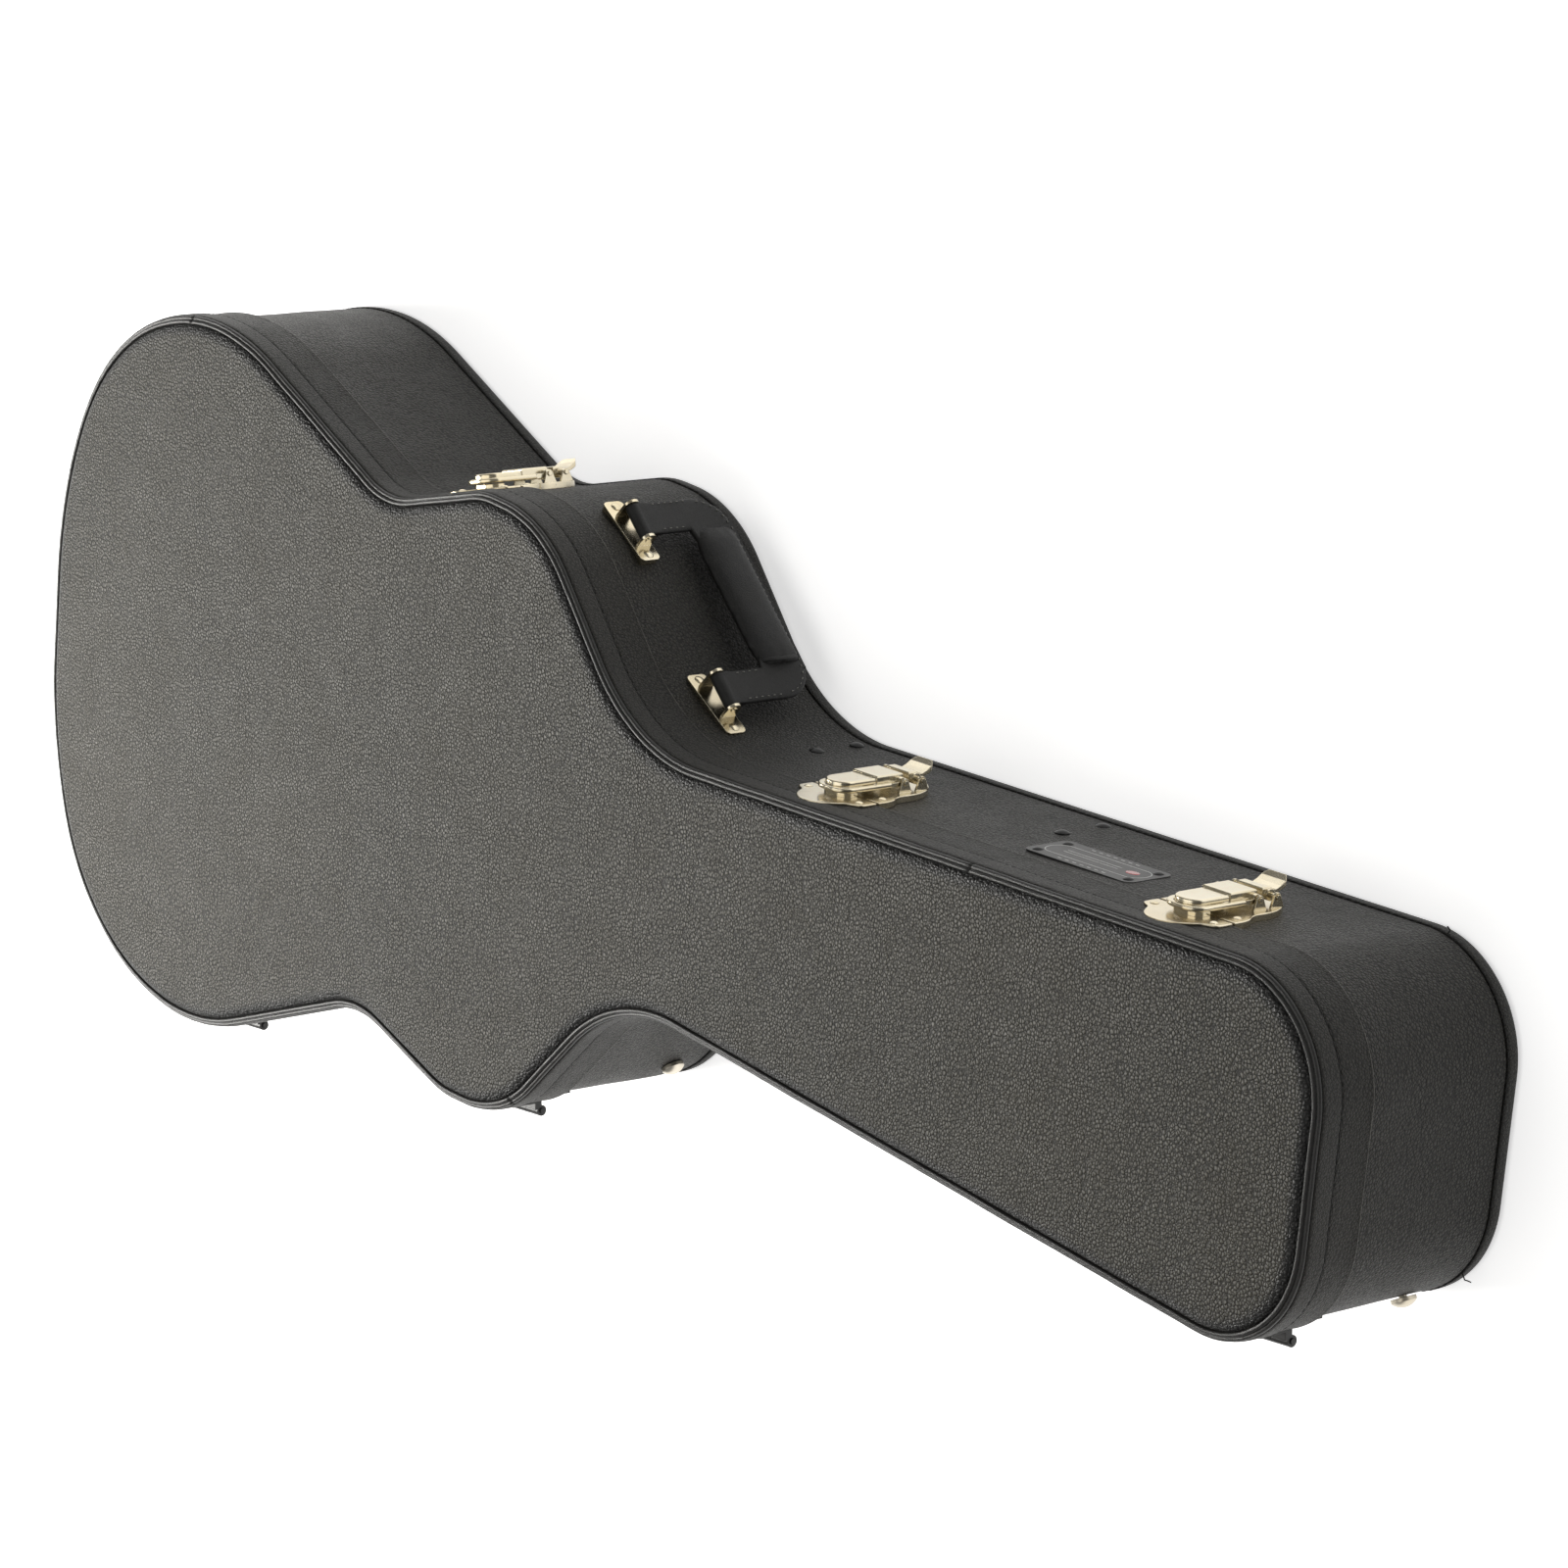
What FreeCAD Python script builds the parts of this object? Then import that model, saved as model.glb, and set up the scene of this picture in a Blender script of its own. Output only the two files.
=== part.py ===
import FreeCAD, Part
import math
import os
from FreeCAD import Vector, Placement, Rotation

# Hard-shell guitar case for a semi-hollow guitar.
# Frame: the case lies on its back, base down, +Z up, z = 0 on the ground.
# +X points to the lower bout, -X to the head end, -Y is the handle and
# latch side, +Y the hinge side.  Millimetres.

doc = FreeCAD.newDocument("guitar_case")
sheet = doc.addObject("Spreadsheet::Sheet", "Sizes")

ROWS = [
    # plan outline of the lid: corner points and rounding radii of one half,
    # from the lower bout to the head end; the other half mirrors it in Y
    ("corner1_x", 559.0), ("corner1_y", 74.84), ("corner1_r", 257.0),
    ("corner2_x", 514.47), ("corner2_y", 184.37), ("corner2_r", 146.5),
    ("corner3_x", 391.97), ("corner3_y", 226.12), ("corner3_r", 162.5),
    ("corner4_x", 210.57), ("corner4_y", 150.05), ("corner4_r", 63.42),
    ("corner5_x", 121.04), ("corner5_y", 175.72), ("corner5_r", 66.97),
    ("corner6_x", 64.73), ("corner6_y", 173.68), ("corner6_r", 85.76),
    ("corner7_x", -31.96), ("corner7_y", 69.49), ("corner7_r", 111.39),
    ("corner8_x", -559.0), ("corner8_y", 97.77), ("corner8_r", 61.89),
    # heights
    ("part_line", 100.8), ("lid_top", 140.0), ("panel_thick", 5.0),
    ("wall_thick", 5.0), ("base_inset", 2.5), ("part_gap", 0.4),
    ("bead_low", 133.4), ("bead_high", 138.8), ("bead_width", 6.6),
    ("strip_low", 122.5), ("strip_proud", 0.8), ("back_strip_high", 9.5),
    ("edge_round", 3.0),
    # lining
    ("lining_thick", 4.0), ("tongue_rise", 9.0), ("tongue_gap", 0.25),
    ("floor_lining", 4.0), ("lid_lining", 4.5), ("lid_wall_lining", 1.3),
    # compartment under the neck
    ("comp_heel_x", -74.0), ("comp_head_x", -272.0), ("comp_wall", 6.0),
    ("comp_high", 54.0), ("comp_half", 58.0), ("comp_lid_thick", 4.0),
    ("block_long", 56.0), ("block_high", 74.0), ("cradle_r", 33.0),
    ("cradle_z", 96.0),
    # hinges
    ("hinge_angle", 7.7265), ("hinge_line", 164.5), ("hinge_pin_r", 1.5),
    ("hinge_knuckle_r", 3.1), ("hinge_wide", 34.0), ("hinge_leaf", 20.0),
    ("hinge_leaf_thick", 1.2), ("hinge_fit", 0.05),
    # latches
    ("latch_plate", 1.2), ("latch_half", 26.0), ("latch_low", 49.0),
    ("latch_high", 129.0), ("latch_pin_r", 1.4), ("latch_fit", 0.06),
    # handle
    ("handle_pin_z", 77.0), ("handle_out", 9.0), ("handle_half", 56.4),
    ("handle_drop", 58.5), ("strap_wide", 21.0), ("strap_thick", 4.0),
    ("handle_pin_r", 2.0), ("grip_high", 30.0), ("grip_deep", 15.0),
    # badge and glides
    ("badge_x", -327.5), ("badge_z", 72.0), ("badge_long", 79.0),
    ("badge_high", 31.0), ("badge_thick", 1.0), ("glide_r", 6.5),
    ("glide_high", 5.0), ("glide_z", 31.0),
]
for i, (alias, value) in enumerate(ROWS, start=1):
    sheet.set("A%d" % i, alias)
    sheet.set("B%d" % i, str(value))
    sheet.setAlias("B%d" % i, alias)
doc.recompute()


def size(alias):
    return float(sheet.get(alias))


nodes = []          # every sub-part, in the order it is made


def add(obj, label):
    obj.Label = label
    nodes.append(obj)
    return obj


def feature(label, shape):
    obj = doc.addObject("Part::Feature", label)
    obj.Shape = shape
    obj.Placement = shape.Placement
    return add(obj, label)


# ------------------------------------------------------------------ outline
def corners():
    half = [(size("corner%d_x" % i), size("corner%d_y" % i),
             size("corner%d_r" % i)) for i in range(1, 9)]
    return half + [(x, -y, r) for x, y, r in reversed(half)]


def offset_corners(off):
    """Corner polygon moved outwards by off (inwards if negative), each
    rounding kept concentric with the lid outline's."""
    pts = corners()
    n = len(pts)
    lines = []
    for i in range(n):
        a, b = pts[i], pts[(i + 1) % n]
        dx, dy = b[0] - a[0], b[1] - a[1]
        length = math.hypot(dx, dy)
        nx, ny = dy / length, -dx / length          # outward normal
        lines.append((a[0] + nx * off, a[1] + ny * off, dx / length, dy / length))
    out = []
    for i in range(n):
        p, q = lines[i - 1], lines[i]
        det = p[2] * q[3] - p[3] * q[2]
        t = ((q[0] - p[0]) * q[3] - (q[1] - p[1]) * q[2]) / det
        r = pts[i][2] + (off if det > 0 else -off)
        out.append((p[0] + p[2] * t, p[1] + p[3] * t, r))
    return out


def rounded(points, closed=True):
    """(start, arc mid, end) of every rounding of a corner list."""
    n = len(points)
    res = []
    for i in range(n):
        a, b, c = points[i - 1], points[i], points[(i + 1) % n]
        u = Vector(a[0] - b[0], a[1] - b[1], 0).normalize()
        w = Vector(c[0] - b[0], c[1] - b[1], 0).normalize()
        ang = u.getAngle(w)
        t = b[2] / math.tan(ang / 2)
        bv = Vector(b[0], b[1], 0)
        bis = (u + w).normalize()
        mid = bv + bis * (b[2] / math.sin(ang / 2) - b[2])
        res.append((bv + u * t, mid, bv + w * t))
    return res


def outline_edges(off):
    """Closed outline as line and arc geometry, in order."""
    arcs = rounded(offset_corners(off))
    geo = []
    n = len(arcs)
    for i in range(n):
        geo.append(Part.Arc(arcs[i][0], arcs[i][1], arcs[i][2]))
        a, b = arcs[i][2], arcs[(i + 1) % n][0]
        if (b - a).Length > 0.02:
            geo.append(Part.LineSegment(a, b))
    return geo


def wire_of(geo, z=0.0):
    edges = [g.toShape() for g in geo]
    w = Part.Wire(Part.__sortEdges__(edges))
    if not w.isClosed():
        w.fixWire(None, 0.05) if hasattr(w, "fixWire") else None
    w.translate(Vector(0, 0, z))
    return w


def slab(off, low, high):
    """Solid with the outline moved by off, between two heights."""
    return Part.Face(wire_of(outline_edges(off), low)).extrude(
        Vector(0, 0, high - low))


def ring(outer, inner, low, high):
    return slab(outer, low, high).cut(slab(inner, low - 1, high + 1))


def half_box(side, low, high, cut=0.0):
    y0 = cut if side > 0 else -400.0
    return Part.makeBox(1400, 400 - cut, high - low, Vector(-700, y0, low))


def outline_sketch(body, name, offsets, height_expr):
    """Sketch on the body's ground plane holding one closed outline for each
    offset; the sketch plane is lifted by an expression."""
    sk = body.newObject("Sketcher::SketchObject", name)
    plane = [f for f in body.Origin.OriginFeatures if f.Role == "XY_Plane"][0]
    sk.AttachmentSupport = [(plane, "")]
    sk.MapMode = "FlatFace"
    for off in offsets:
        sk.addGeometry(outline_edges(off), False)
    if height_expr:
        sk.setExpression("AttachmentOffset.Base.z", height_expr)
    return sk


def panel_body(label, offsets, base_expr, length_expr):
    body = doc.addObject("PartDesign::Body", label)
    sk = outline_sketch(body, label + "_sketch", offsets, base_expr)
    pad = body.newObject("PartDesign::Pad", label + "_pad")
    pad.Profile = sk
    pad.setExpression("Length", length_expr)
    doc.recompute()
    return body, pad


def round_edges(body, base, radius_alias, z, outer_off):
    """Fillet on the edges of a pad that lie at height z on the outer side."""
    wanted = []
    for i, e in enumerate(base.Shape.Edges, start=1):
        bb = e.BoundBox
        if abs(bb.ZMin - z) < 0.02 and abs(bb.ZMax - z) < 0.02:
            wanted.append("Edge%d" % i)
    fil = body.newObject("PartDesign::Fillet", body.Label + "_round")
    fil.Base = (base, wanted)
    fil.setExpression("Radius", "Sizes." + radius_alias)
    body.Tip = fil
    doc.recompute()
    return fil


P = size("part_line")
TH = size("wall_thick")
BI = size("base_inset")

# --------------------------------------------------------------------- base
# Back panel: plywood covered in vinyl; the case lies on it.
b, pad = panel_body("base_panel", [-BI], None, "Sizes.panel_thick")
round_edges(b, pad, "edge_round", 0.0, -BI)
add(b, "base_panel")

# Base side wall, bent plywood strip in two halves that meet at the lower
# bout and the head end; it carries the latches and handle at -Y and the
# hinges at +Y.
low, high = size("panel_thick"), P - size("part_gap") / 2
base_ring = ring(-BI, -BI - TH, low, high)
feature("base_wall_latch_side", base_ring.common(half_box(-1, low, high)))
feature("base_wall_hinge_side", base_ring.common(half_box(1, low, high)))

# Vinyl binding strip round the back edge, seam at its upper edge.
b, pad = panel_body("base_edge_binding", [-BI + size("strip_proud"), -BI + 0.01],
                    "Sizes.edge_round + 0.5",
                    "Sizes.back_strip_high - Sizes.edge_round - 0.5")
add(b, "base_edge_binding")

# Plush floor lining and the padded wall lining.  The wall lining stands
# above the rim: it is the tongue that locates the lid.
inner = BI + TH + size("tongue_gap")
lt = size("lining_thick")
b, pad = panel_body("base_floor_lining", [-inner - lt - 0.3],
                    "Sizes.panel_thick + 0.05", "Sizes.floor_lining")
add(b, "base_floor_lining")
low, high = size("panel_thick") + 0.05, P + size("tongue_rise")
pad_ring = ring(-inner, -inner - lt, low, high)
feature("base_padding_latch_side", pad_ring.common(half_box(-1, low, high)))
feature("base_padding_hinge_side", pad_ring.common(half_box(1, low, high)))

# Accessory compartment below the neck: two end walls, hinged lid, and the
# neck block with its cradle next to it.
fl = size("panel_thick") + 0.05 + size("floor_lining") + 0.1
for label, alias in (("compartment_heel_wall", "comp_heel_x"),
                     ("compartment_head_wall", "comp_head_x")):
    box = doc.addObject("Part::Box", label)
    box.setExpression("Length", "Sizes.comp_wall")
    box.setExpression("Width", "2 * Sizes.comp_half")
    box.setExpression("Height", "Sizes.comp_high - %.3f" % fl)
    box.setExpression("Placement.Base.x", "Sizes.%s - Sizes.comp_wall / 2" % alias)
    box.setExpression("Placement.Base.y", "-Sizes.comp_half")
    box.Placement.Base.z = fl
    doc.recompute()
    add(box, label)

block = doc.addObject("Part::Box", "neck_block_solid")
block.setExpression("Length", "Sizes.block_long")
block.setExpression("Width", "2 * Sizes.comp_half")
block.setExpression("Height", "Sizes.block_high - %.3f" % fl)
block.setExpression("Placement.Base.x",
                    "Sizes.comp_head_x - Sizes.comp_wall / 2 - 0.3 - Sizes.block_long")
block.setExpression("Placement.Base.y", "-Sizes.comp_half")
block.Placement.Base.z = fl
cradle = doc.addObject("Part::Cylinder", "neck_cradle")
cradle.setExpression("Radius", "Sizes.cradle_r")
cradle.setExpression("Height", "Sizes.block_long + 20")
cradle.Placement = Placement(Vector(0, 0, 0), Rotation(Vector(0, 1, 0), 90))
cradle.setExpression("Placement.Base.x",
                     "Sizes.comp_head_x - Sizes.comp_wall / 2 - Sizes.block_long - 10")
cradle.setExpression("Placement.Base.z", "Sizes.cradle_z")
cut = doc.addObject("Part::Cut", "neck_block")
cut.Base = block
cut.Tool = cradle
doc.recompute()
add(cut, "neck_block")

# Compartment lid, pivoted on a pin in a cloth-covered hinge strip at +Y.
ch, chx, cwx = size("comp_high"), size("comp_head_x"), size("comp_heel_x")
lid_lo = chx + size("comp_wall") / 2 + 0.5
lid_hi = cwx - size("comp_wall") / 2 - 0.5
half = size("comp_half")
ct = size("comp_lid_thick")
pin_r = 1.2
piv = Vector(0, half - 2.6, ch - 0.4 - ct / 2 + 1.0)
lid = Part.makeBox(lid_hi - lid_lo, 2 * half - 7.0, ct,
                   Vector(lid_lo, -half + 0.5, piv.z - ct / 2))
barrel = Part.makeCylinder(ct / 2, lid_hi - lid_lo - 40, Vector(lid_lo + 20, piv.y, piv.z),
                           Vector(1, 0, 0))
neck = Part.makeBox(lid_hi - lid_lo - 40, 4.0, ct,
                    Vector(lid_lo + 20, half - 6.5, piv.z - ct / 2)).cut(
    Part.makeBox(400, 10, 10, Vector(-400, piv.y, piv.z - 5)))
lid = lid.fuse([barrel, neck]).cut(
    Part.makeCylinder(pin_r + 0.05, 400, Vector(lid_lo - 50, piv.y, piv.z), Vector(1, 0, 0)))
feature("compartment_lid", lid.removeSplitter())
# pin held by two small end blocks
pins = Part.makeCylinder(pin_r, lid_hi - lid_lo - 8, Vector(lid_lo + 4, piv.y, piv.z),
                         Vector(1, 0, 0))
ends = []
for x0 in (lid_lo + 1.0, lid_hi - 18.0):
    ends.append(Part.makeBox(17.0, 4.0, 22.0, Vector(x0, piv.y - 1.8, piv.z - 20.0)).cut(
        Part.makeCylinder(pin_r, 60, Vector(x0 - 10, piv.y, piv.z), Vector(1, 0, 0))))
# the end blocks stand on a rail screwed along the wall, so nothing hangs free
rail = Part.makeBox(lid_hi - lid_lo - 2.0, 2.0, piv.z - 20.0 - fl - 0.05,
                    Vector(lid_lo + 1.0, piv.y - 1.8, fl))
feature("compartment_hinge_pin", pins)
feature("compartment_hinge_rail", ends[0].fuse([ends[1], rail.fuse(Part.makeBox(
    lid_hi - lid_lo - 2.0, 2.0, 0.1, Vector(lid_lo + 1.0, piv.y - 1.8, piv.z - 20.05)))]
).removeSplitter())
notch = Part.makeBox(22, 12, 30, Vector(lid_lo - 1, half - 8.0, piv.z - 15))
notch2 = Part.makeBox(22, 12, 30, Vector(lid_hi - 20.5, half - 8.0, piv.z - 15))
tab = Part.makeBox(20, 26, 1.2, Vector((lid_lo + lid_hi) / 2 - 10, -half + 4, piv.z + ct / 2 + 0.02))
lid_obj = [o for o in nodes if o.Label == "compartment_lid"][0]
lid_obj.Shape = lid_obj.Shape.cut(notch).cut(notch2)
feature("compartment_pull_tab", tab)

# ---------------------------------------------------------------------- lid
b, pad = panel_body("lid_panel", [-size("bead_width") - 0.3],
                    "Sizes.lid_top - Sizes.panel_thick", "Sizes.panel_thick")
round_edges(b, pad, "edge_round", size("lid_top"), 0)
add(b, "lid_panel")

low, high = P + size("part_gap") / 2, size("bead_low")
lid_ring = ring(0.0, -TH, low, high)
feature("lid_wall_latch_side", lid_ring.common(half_box(-1, low, high)))
feature("lid_wall_hinge_side", lid_ring.common(half_box(1, low, high)))

b, pad = panel_body("lid_bead", [0.4, -size("bead_width")],
                    "Sizes.bead_low", "Sizes.bead_high - Sizes.bead_low")
add(b, "lid_bead")

b, pad = panel_body("lid_edge_binding", [size("strip_proud"), 0.01],
                    "Sizes.strip_low", "Sizes.bead_low - Sizes.strip_low - 0.1")
add(b, "lid_edge_binding")

b, pad = panel_body("lid_lining", [-TH - size("lid_wall_lining") - 0.6],
                    "Sizes.lid_top - Sizes.panel_thick - Sizes.lid_lining - 0.05",
                    "Sizes.lid_lining")
add(b, "lid_lining")

b, pad = panel_body("lid_wall_lining", [-TH - 0.05, -TH - 0.05 - size("lid_wall_lining")],
                    "Sizes.part_line + 3", "Sizes.bead_low - Sizes.part_line - 4")
add(b, "lid_wall_lining")

# ------------------------------------------------------------------- hinges
ang = math.radians(size("hinge_angle"))
hd = Vector(math.cos(ang), math.sin(ang), 0)          # along the hinge line
hn = Vector(-math.sin(ang), math.cos(ang), 0)         # outwards
HP = []                                               # hinge centres
for s in (399.5, 114.0, -489.5):
    HP.append(hn * size("hinge_line") + hd * s + Vector(0, 0, P))
pr, kr, hw = size("hinge_pin_r"), size("hinge_knuckle_r"), size("hinge_wide")
lf, lth, fit = size("hinge_leaf"), size("hinge_leaf_thick"), size("hinge_fit")


def hinge_leaf(c, up):
    """One leaf: a thin plate lying on the wall, following its curve, with
    its own knuckles round the pin."""
    lo, hi = (P + 2.2, P + lf) if up else (P - lf, P - 2.2)
    if up:
        hi = min(hi, size("strip_low") - 0.3)
    base = 0.05 if up else -BI + 0.05
    plate = ring(base + lth, base, lo, hi)
    prism = Part.makeBox(hw, 60, hi - lo, Vector(-hw / 2, -40, lo))
    prism.rotate(Vector(0, 0, 0), Vector(0, 0, 1), math.degrees(ang))
    prism.translate(Vector(c.x, c.y, 0))
    plate = plate.common(prism)
    third = hw / 3.0
    spans = [(-hw / 2, -hw / 6 - 0.15), (hw / 6 + 0.15, hw / 2)] if up else \
        [(-hw / 6 + 0.15, hw / 6 - 0.15)]
    parts = [plate]
    for a, bb in spans:
        cyl = Part.makeCylinder(kr, bb - a, c + hd * a, hd)
        # web from the knuckle to the plate
        top = (P + 4.5) if up else (P - 4.5)
        web = Part.makeBox(bb - a, 11.0, abs(top - P), Vector(a, -12.0, min(P, top)))
        web.rotate(Vector(0, 0, 0), Vector(0, 0, 1), math.degrees(ang))
        web.translate(Vector(c.x, c.y, 0))
        web = web.cut(slab(base, P - 30, P + 30))
        parts += [cyl, web]
    leaf = parts[0].fuse(parts[1:])
    leaf = leaf.cut(Part.makeCylinder(pr + (fit if up else 0.0), hw + 4,
                                      c - hd * (hw / 2 + 2), hd))
    return leaf.removeSplitter()


lid_leaves, base_leaves, pins = [], [], []
for c in HP:
    lid_leaves.append(hinge_leaf(c, True))
    base_leaves.append(hinge_leaf(c, False))
    pins.append(Part.makeCylinder(pr, hw + 1.6, c - hd * (hw / 2 + 0.8), hd))


def compound(label, shapes):
    solids = []
    for s in shapes:
        solids += s.Solids
    return feature(label, Part.makeCompound(solids))


compound("hinge_lid_leaves", lid_leaves)
compound("hinge_base_leaves", base_leaves)
compound("hinge_pins", pins)


def rivet(pos, out, r=2.6, h=1.1, shank_r=1.3, shank=4.0):
    """Domed rivet head standing on a surface, with a short shank behind."""
    rad = (r * r + h * h) / (2 * h)
    ball = Part.makeSphere(rad, pos - out * (rad - h))
    keep = Part.makeCylinder(r + 1, h + 1, pos, out)
    head = ball.common(keep)
    return head.fuse(Part.makeCylinder(shank_r, shank, pos - out * shank, out)).removeSplitter()


def wall_point(x, side=-1, off=0.0):
    """Point and outward normal on the outline at x, on one side."""
    w = wire_of(outline_edges(off))
    line = Part.makeLine(Vector(x, 0, 0), Vector(x, side * 400, 0))
    d = w.distToShape(line)
    p = d[1][0][0]
    eps = 0.6
    q = []
    for dx in (-eps, eps):
        l2 = Part.makeLine(Vector(x + dx, 0, 0), Vector(x + dx, side * 400, 0))
        q.append(w.distToShape(l2)[1][0][0])
    t = (q[1] - q[0]).normalize()
    n = Vector(t.y, -t.x, 0)
    if n.y * side < 0:
        n = n * -1
    return Vector(p.x, p.y, 0), n


rl, rb = [], []
for c in HP:
    for s in (-11.0, 0.0, 11.0):
        q = c + hd * s
        p, n = wall_point(q.x, 1, 0.05 + lth)
        rl.append(rivet(Vector(p.x, p.y, P + 15.5), n, 2.3, 0.9, 1.1, 3.2))
        p, n = wall_point(q.x, 1, -BI + 0.05 + lth)
        rb.append(rivet(Vector(p.x, p.y, P - 13.0), n, 2.3, 0.9, 1.1, 3.2))
compound("hinge_lid_rivets", rl)
compound("hinge_base_rivets", rb)

# ------------------------------------------------------------------ latches
# Local frame of a latch: u up the wall (z), v along the wall, w outwards.
LATCHES = []
A = Vector(size("corner4_x"), -size("corner4_y"), 0)
B = Vector(size("corner5_x"), -size("corner5_y"), 0)
t1 = (B - A).normalize()
LATCHES.append((A + t1 * 55.0, Vector(0.27561, -0.96127, 0)))
A = Vector(size("corner7_x"), -size("corner7_y"), 0)
B = Vector(size("corner8_x"), -size("corner8_y"), 0)
t2 = (B - A).normalize()
n2 = Vector(t2.y, -t2.x, 0)
if n2.y > 0:
    n2 = n2 * -1
for x in (-164.6, -429.0):
    LATCHES.append((A + t2 * ((x - A.x) / t2.x), n2))

lp, lh = size("latch_plate"), size("latch_half")
lr, lfit = size("latch_pin_r"), size("latch_fit")


def place(shape, centre, n):
    """From local (v, w, z) = (x, y, z) to the wall: x runs along the wall,
    y outwards from it, z stays."""
    v = Vector(n.y, -n.x, 0)      # along the wall
    m = FreeCAD.Matrix(v.x, n.x, 0, centre.x, v.y, n.y, 0, centre.y, 0, 0, 1, 0, 0, 0, 0, 1)
    s = shape.copy()
    s.transformShape(m)
    return s


def poly_prism(pts, w0, w1):
    """Prism of a (v, z) polygon between two outward distances."""
    ps = [Vector(v, w0, z) for v, z in pts]
    f = Part.Face(Part.makePolygon(ps + ps[:1]))
    return f.extrude(Vector(0, w1 - w0, 0))


def side_prism(pts, v0, v1):
    """Prism of a (w, z) polygon between two places along the wall."""
    ps = [Vector(v0, w, z) for w, z in pts]
    f = Part.Face(Part.makePolygon(ps + ps[:1]))
    return f.extrude(Vector(v1 - v0, 0, 0))


def plate_outline(up):
    """Half of the scalloped shield plate, as (v, z), from the parting line
    to the far tip."""
    if up:
        pts = [(lh, P + 0.8), (lh + 0.4, P + 5), (lh, P + 10.5), (lh - 3.2, P + 12.5),
               (lh - 7.5, P + 14.2), (lh - 10, P + 18.5), (lh - 13.5, P + 23.0),
               (lh - 18, P + 26.2), (lh - 23, P + 27.9)]
    else:
        pts = [(lh, P - 0.8), (lh, P - 8), (lh - 1.4, P - 12.5), (lh - 4.6, P - 16.5),
               (lh - 6.2, P - 21), (lh - 5.8, P - 27), (lh - 6.4, P - 34),
               (lh - 9.5, P - 41), (lh - 14.5, P - 47), (lh - 20, P - 50.8), (lh - 24, P - 51.8)]
    return pts


def shield(up, w0, w1):
    h = plate_outline(up)
    pts = h + [(-v, z) for v, z in reversed(h)]
    # rounded polygon: every corner but the two at the parting line is
    # replaced by a small arc
    q = [Vector(v, w0, z) for v, z in pts]
    edges, last = [], q[0]
    for a, b_, c_ in zip(q[:-2], q[1:-1], q[2:]):
        u, w = (a - b_), (c_ - b_)
        cut_ = 0.46 * min(u.Length, w.Length)
        u.normalize()
        w.normalize()
        p1, p2 = b_ + u * cut_, b_ + w * cut_
        if abs(u.cross(w).Length) < 0.02:
            continue
        half_ = u.getAngle(w) / 2
        r_ = cut_ * math.tan(half_)
        mid_ = b_ + (u + w).normalize() * (r_ / math.sin(half_) - r_)
        if (p1 - last).Length > 0.01:
            edges.append(Part.makeLine(last, p1))
        edges.append(Part.Arc(p1, mid_, p2).toShape())
        last = p2
    edges.append(Part.makeLine(last, q[-1]))
    edges.append(Part.makeLine(q[-1], q[0]))
    f = Part.Face(Part.Wire(edges))
    s = f.extrude(Vector(0, w1 - w0, 0))
    return s


def soften(shape, radius, test):
    edges = [e for e in shape.Edges if test(e)]
    if not edges:
        return shape
    try:
        s = shape.makeFillet(radius, edges)
        if s.isValid() and s.Volume > 0:
            return s
    except Exception:
        pass
    return shape


def at_w(w):
    return lambda e: abs(e.BoundBox.YMin - w) < 0.01 and abs(e.BoundBox.YMax - w) < 0.01


def slot_shape(v_half, z0, z1, w0, w1, r):
    """Plate with a rounded upper end, as (v, z) between outward distances."""
    box = Part.makeBox(2 * v_half, w1 - w0, z1 - r - z0, Vector(-v_half, w0, z0))
    top = Part.makeBox(2 * (v_half - r), w1 - w0, r + 0.001, Vector(-v_half + r, w0, z1 - r - 0.001))
    parts = [box, top]
    for sgn in (-1, 1):
        parts.append(Part.makeCylinder(r, w1 - w0, Vector(sgn * (v_half - r), w0, z1 - r),
                                       Vector(0, 1, 0)))
    whole = parts[0].fuse(parts[1:]).removeSplitter()
    return whole.common(Part.makeBox(200, 200, 400, Vector(-100, -100, z0)))


BAIL_W, LEV_W = 6.3, 6.3          # outward distance of the pins
BAIL_Z = P - 27.5                 # bail pin, on the base plate's cheeks
LEV_Z = P - 39.0                  # lever pin, near the tab end


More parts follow.
